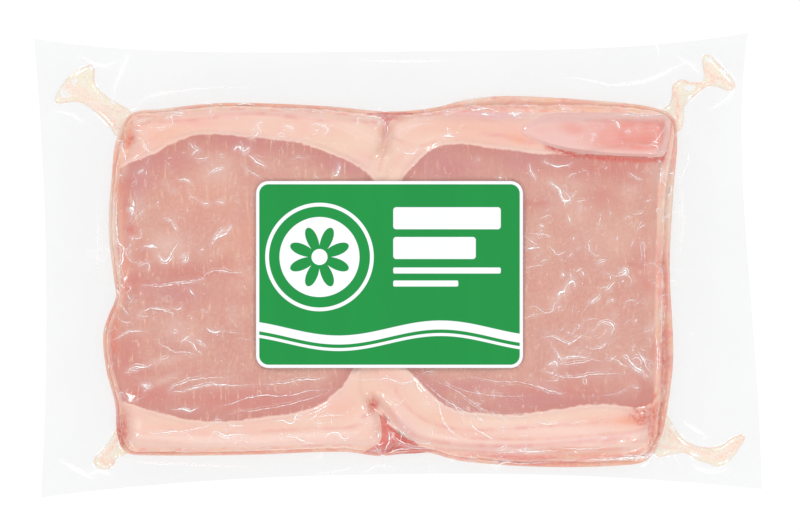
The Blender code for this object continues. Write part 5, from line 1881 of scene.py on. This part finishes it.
def label_material(settings):
    """Green print with a white border, plain bars, a ringed disc and a wave along the bottom."""
    material, bench = new_material("label print")
    place = bench.shift(bench.place(), (-LABEL_CENTRE[0], -LABEL_CENTRE[1], 0.0))

    def panel(x, y, half_length, half_width, corner):
        inputs = {"Middle": (x, y, 0.0), "Half Size": (half_length, half_width, 0.0), "Corner": corner}
        return bench.group(panel_group(), place, **inputs)["Inside"]

    def within(value, low, high):
        soft = PRINT_EDGE
        return bench.band(value, (low - soft, low + soft), (high - soft, high + soft))

    ground_size = (LABEL_LENGTH / 2 - LABEL_BORDER, LABEL_WIDTH / 2 - LABEL_BORDER)
    white = bench.sums("SUBTRACT", 1.0, panel(0, 0, *ground_size, LABEL_CORNER - LABEL_BORDER))
    for bar in LABEL_BARS:
        white = bench.most(white, panel(*bar))

    off_middle = bench.stretch(place, (1, 1, 0))
    off_middle = bench.shift(off_middle, (-DISC_MIDDLE[0], -DISC_MIDDLE[1], 0.0))
    from_disc = bench.add("ShaderNodeVectorMath", {0: off_middle}, operation="LENGTH").outputs["Value"]
    white = bench.most(white, within(from_disc, *RING))
    white = bench.most(white, bench.fade(from_disc, DISC - PRINT_EDGE, DISC + PRINT_EDGE, 1.0, 0.0))
    sides = bench.split(off_middle)
    bearing = bench.sums("ARCTAN2", sides["Y"], sides["X"])
    petals = bench.sums("ABSOLUTE", bench.sums("SINE", bench.times(bearing, PETALS / 2)))
    petals = bench.sums("MULTIPLY_ADD", petals, PETAL_LENGTH, PETAL_FOOT)
    flower = bench.fade(bench.sums("SUBTRACT", petals, from_disc), -PRINT_EDGE, PRINT_EDGE)
    heart = bench.fade(from_disc, FLOWER_HEART - PRINT_EDGE, FLOWER_HEART + PRINT_EDGE)
    white = bench.sums("SUBTRACT", white, bench.times(flower, heart))

    axes = bench.split(place)
    crest = bench.times(bench.sums("SINE", bench.sums("DIVIDE", axes["X"], WAVE_STRETCH)), WAVE_SWING)
    above = bench.sums("SUBTRACT", axes["Y"], crest)
    for wave in LABEL_WAVES:
        white = bench.most(white, within(above, *wave))

    grain = bench.noise(place, 2.4, 3.0)
    # Painted shade: the print is darkened a little in soft vertical bands across the label
    waves = bench.noise(bench.stretch(place, (1.0, 0.12, 1.0)), 0.09, 1.0)
    colour = bench.blend(white, settings.green, settings.white)
    colour = bench.blend(bench.fade(waves, 0.35, 0.65, 0.0, 0.12), colour, (0.6, 0.64, 0.7), "MULTIPLY")
    roughness = bench.fade(grain, 0.3, 0.7, 0.38, 0.46)
    relief = bench.relief(grain, 0.05, 0.1)
    bench.cover(bench.shader(colour, roughness, Normal=relief, Specular_IOR_Level=0.15))
    return material


class PORK_OT_label(bpy.types.Operator):
    """Builds the label that is stuck on top of the film"""

    bl_idname = "pork_pack.label"
    bl_label = "Label"

    def execute(self, context):
        material = label_material(context.scene.pork_pack.label)
        outline = rounded_outline(LABEL_LENGTH, LABEL_WIDTH, LABEL_CORNER) + LABEL_CENTRE
        half = np.array([LABEL_LENGTH / 2, LABEL_WIDTH / 2]) - LABEL_CORNER * (1 - math.sqrt(0.5))
        corners = [np.array(LABEL_CENTRE) + half * signs for signs in ((-1, -1), (1, -1), (1, 1), (-1, 1))]
        places = stretched_grid(outline, corners, 110, 80, 0.3)

        def top(x, y):
            return label_under(x, y) + LABEL_THICKNESS * 0.75

        def plain(x, y, on_top):
            return {}

        slab_piece("label_sheet", places, top, label_under, plain, material, "label", "label_print")
        return {"FINISHED"}


# ---- the stage


# Where the small lamps stand, a metre off: azimuth and elevation in degrees
LAMPS = ((35, 42), (120, 38), (215, 44), (300, 36))
LAMP_WIDTH = 0.15
FLOOR_HALF_WIDTH = 4.0
FLOOR_DROP = 0.05
SENSOR_WIDTH = 36.0


class PORK_OT_stage(bpy.types.Operator):
    """Sets up the pale floor, the soft light, a few small lamps and the camera"""

    bl_idname = "pork_pack.stage"
    bl_label = "Stage"

    def execute(self, context):
        settings = context.scene.pork_pack.stage
        self.make_floor(settings.glow)
        self.make_sky(context.scene, settings.sky)
        for number, (azimuth, elevation) in enumerate(LAMPS):
            self.make_lamp(f"lamp_{number}", azimuth, elevation, settings.lamp)
        self.make_camera(context.scene, settings)
        context.scene.view_settings.view_transform = "Standard"
        context.scene.view_settings.look = "None"
        return {"FINISHED"}

    def make_floor(self, glow):
        mesh = bpy.data.meshes.new("floor")
        sheet = bmesh.new()
        bmesh.ops.create_grid(sheet, x_segments=2, y_segments=2, size=FLOOR_HALF_WIDTH)
        sheet.to_mesh(mesh)
        sheet.free()
        material, bench = new_material("pale floor")
        light = {"Specular IOR Level": 0.1, "Emission Color": (1.0, 1.0, 1.0), "Emission Strength": glow}
        bench.cover(bench.shader((0.07, 0.07, 0.07), 0.9, **light))
        mesh.materials.append(material)
        floor = bpy.data.objects.new("floor", mesh)
        floor.location.z = -FLOOR_DROP * MM
        bpy.context.scene.collection.objects.link(floor)

    def make_sky(self, scene, brightness):
        world = bpy.data.worlds.new("soft studio")
        world.use_nodes = True
        background = world.node_tree.nodes["Background"]
        background.inputs["Color"].default_value = (1.0, 1.0, 1.0, 1.0)
        background.inputs["Strength"].default_value = brightness
        scene.world = world

    def make_lamp(self, name, azimuth, elevation, power):
        """A small lamp, for crisp glints on the film."""
        data = bpy.data.lights.new(name, "AREA")
        data.shape = "DISK"
        data.size = LAMP_WIDTH
        data.energy = power
        lamp = bpy.data.objects.new(name, data)
        turn, tilt = math.radians(azimuth), math.radians(elevation)
        lamp.location = (math.cos(turn) * math.cos(tilt), math.sin(turn) * math.cos(tilt), math.sin(tilt))
        lamp.rotation_euler = (math.radians(90) - tilt, 0, turn + math.radians(90))
        bpy.context.scene.collection.objects.link(lamp)

    def make_camera(self, scene, settings):
        data = bpy.data.cameras.new("camera")
        data.lens = settings.lens
        data.sensor_width = SENSOR_WIDTH
        data.clip_end = 20.0
        camera = bpy.data.objects.new("camera", data)
        distance = settings.view_width * settings.lens / SENSOR_WIDTH
        camera.location = (0.8 * MM, -0.4 * MM, distance + STACK_HEIGHT * MM)
        scene.collection.objects.link(camera)
        scene.camera = camera


# ---- the add-on

PIECE_OPERATORS = (
    PORK_OT_lower_steaks,
    PORK_OT_upper_steaks,
    PORK_OT_rind_flap,
    PORK_OT_juice,
    PORK_OT_caught_juice,
    PORK_OT_film,
    PORK_OT_film_crests,
    PORK_OT_label,
    PORK_OT_stage,
)


class PORK_PT_pack(bpy.types.Panel):
    """Lists the pack's pieces and settings"""

    bl_label = "Vacuum Packed Pork Steaks"
    bl_idname = "PORK_PT_pack"
    bl_space_type = "VIEW_3D"
    bl_region_type = "UI"
    bl_category = "Pork Pack"

    def draw(self, context):
        for operator in PIECE_OPERATORS:
            self.layout.operator(operator.bl_idname)
        settings = context.scene.pork_pack
        for group in (settings.meat, settings.film, settings.label, settings.stage):
            box = self.layout.box()
            for name in group.__annotations__:
                box.prop(group, name)


GROUPS = (MeatColours, FilmSettings, LabelSettings, StageSettings, PackSettings)


def register():
    for kind in GROUPS + PIECE_OPERATORS + (PORK_PT_pack,):
        bpy.utils.register_class(kind)
    bpy.types.Scene.pork_pack = PointerProperty(type=PackSettings)


def unregister():
    del bpy.types.Scene.pork_pack
    for kind in reversed(GROUPS + PIECE_OPERATORS + (PORK_PT_pack,)):
        bpy.utils.unregister_class(kind)


def main():
    register()
    for operator in PIECE_OPERATORS:
        getattr(bpy.ops.pork_pack, operator.bl_idname.split(".")[1])()


if __name__ == "__main__":
    main()
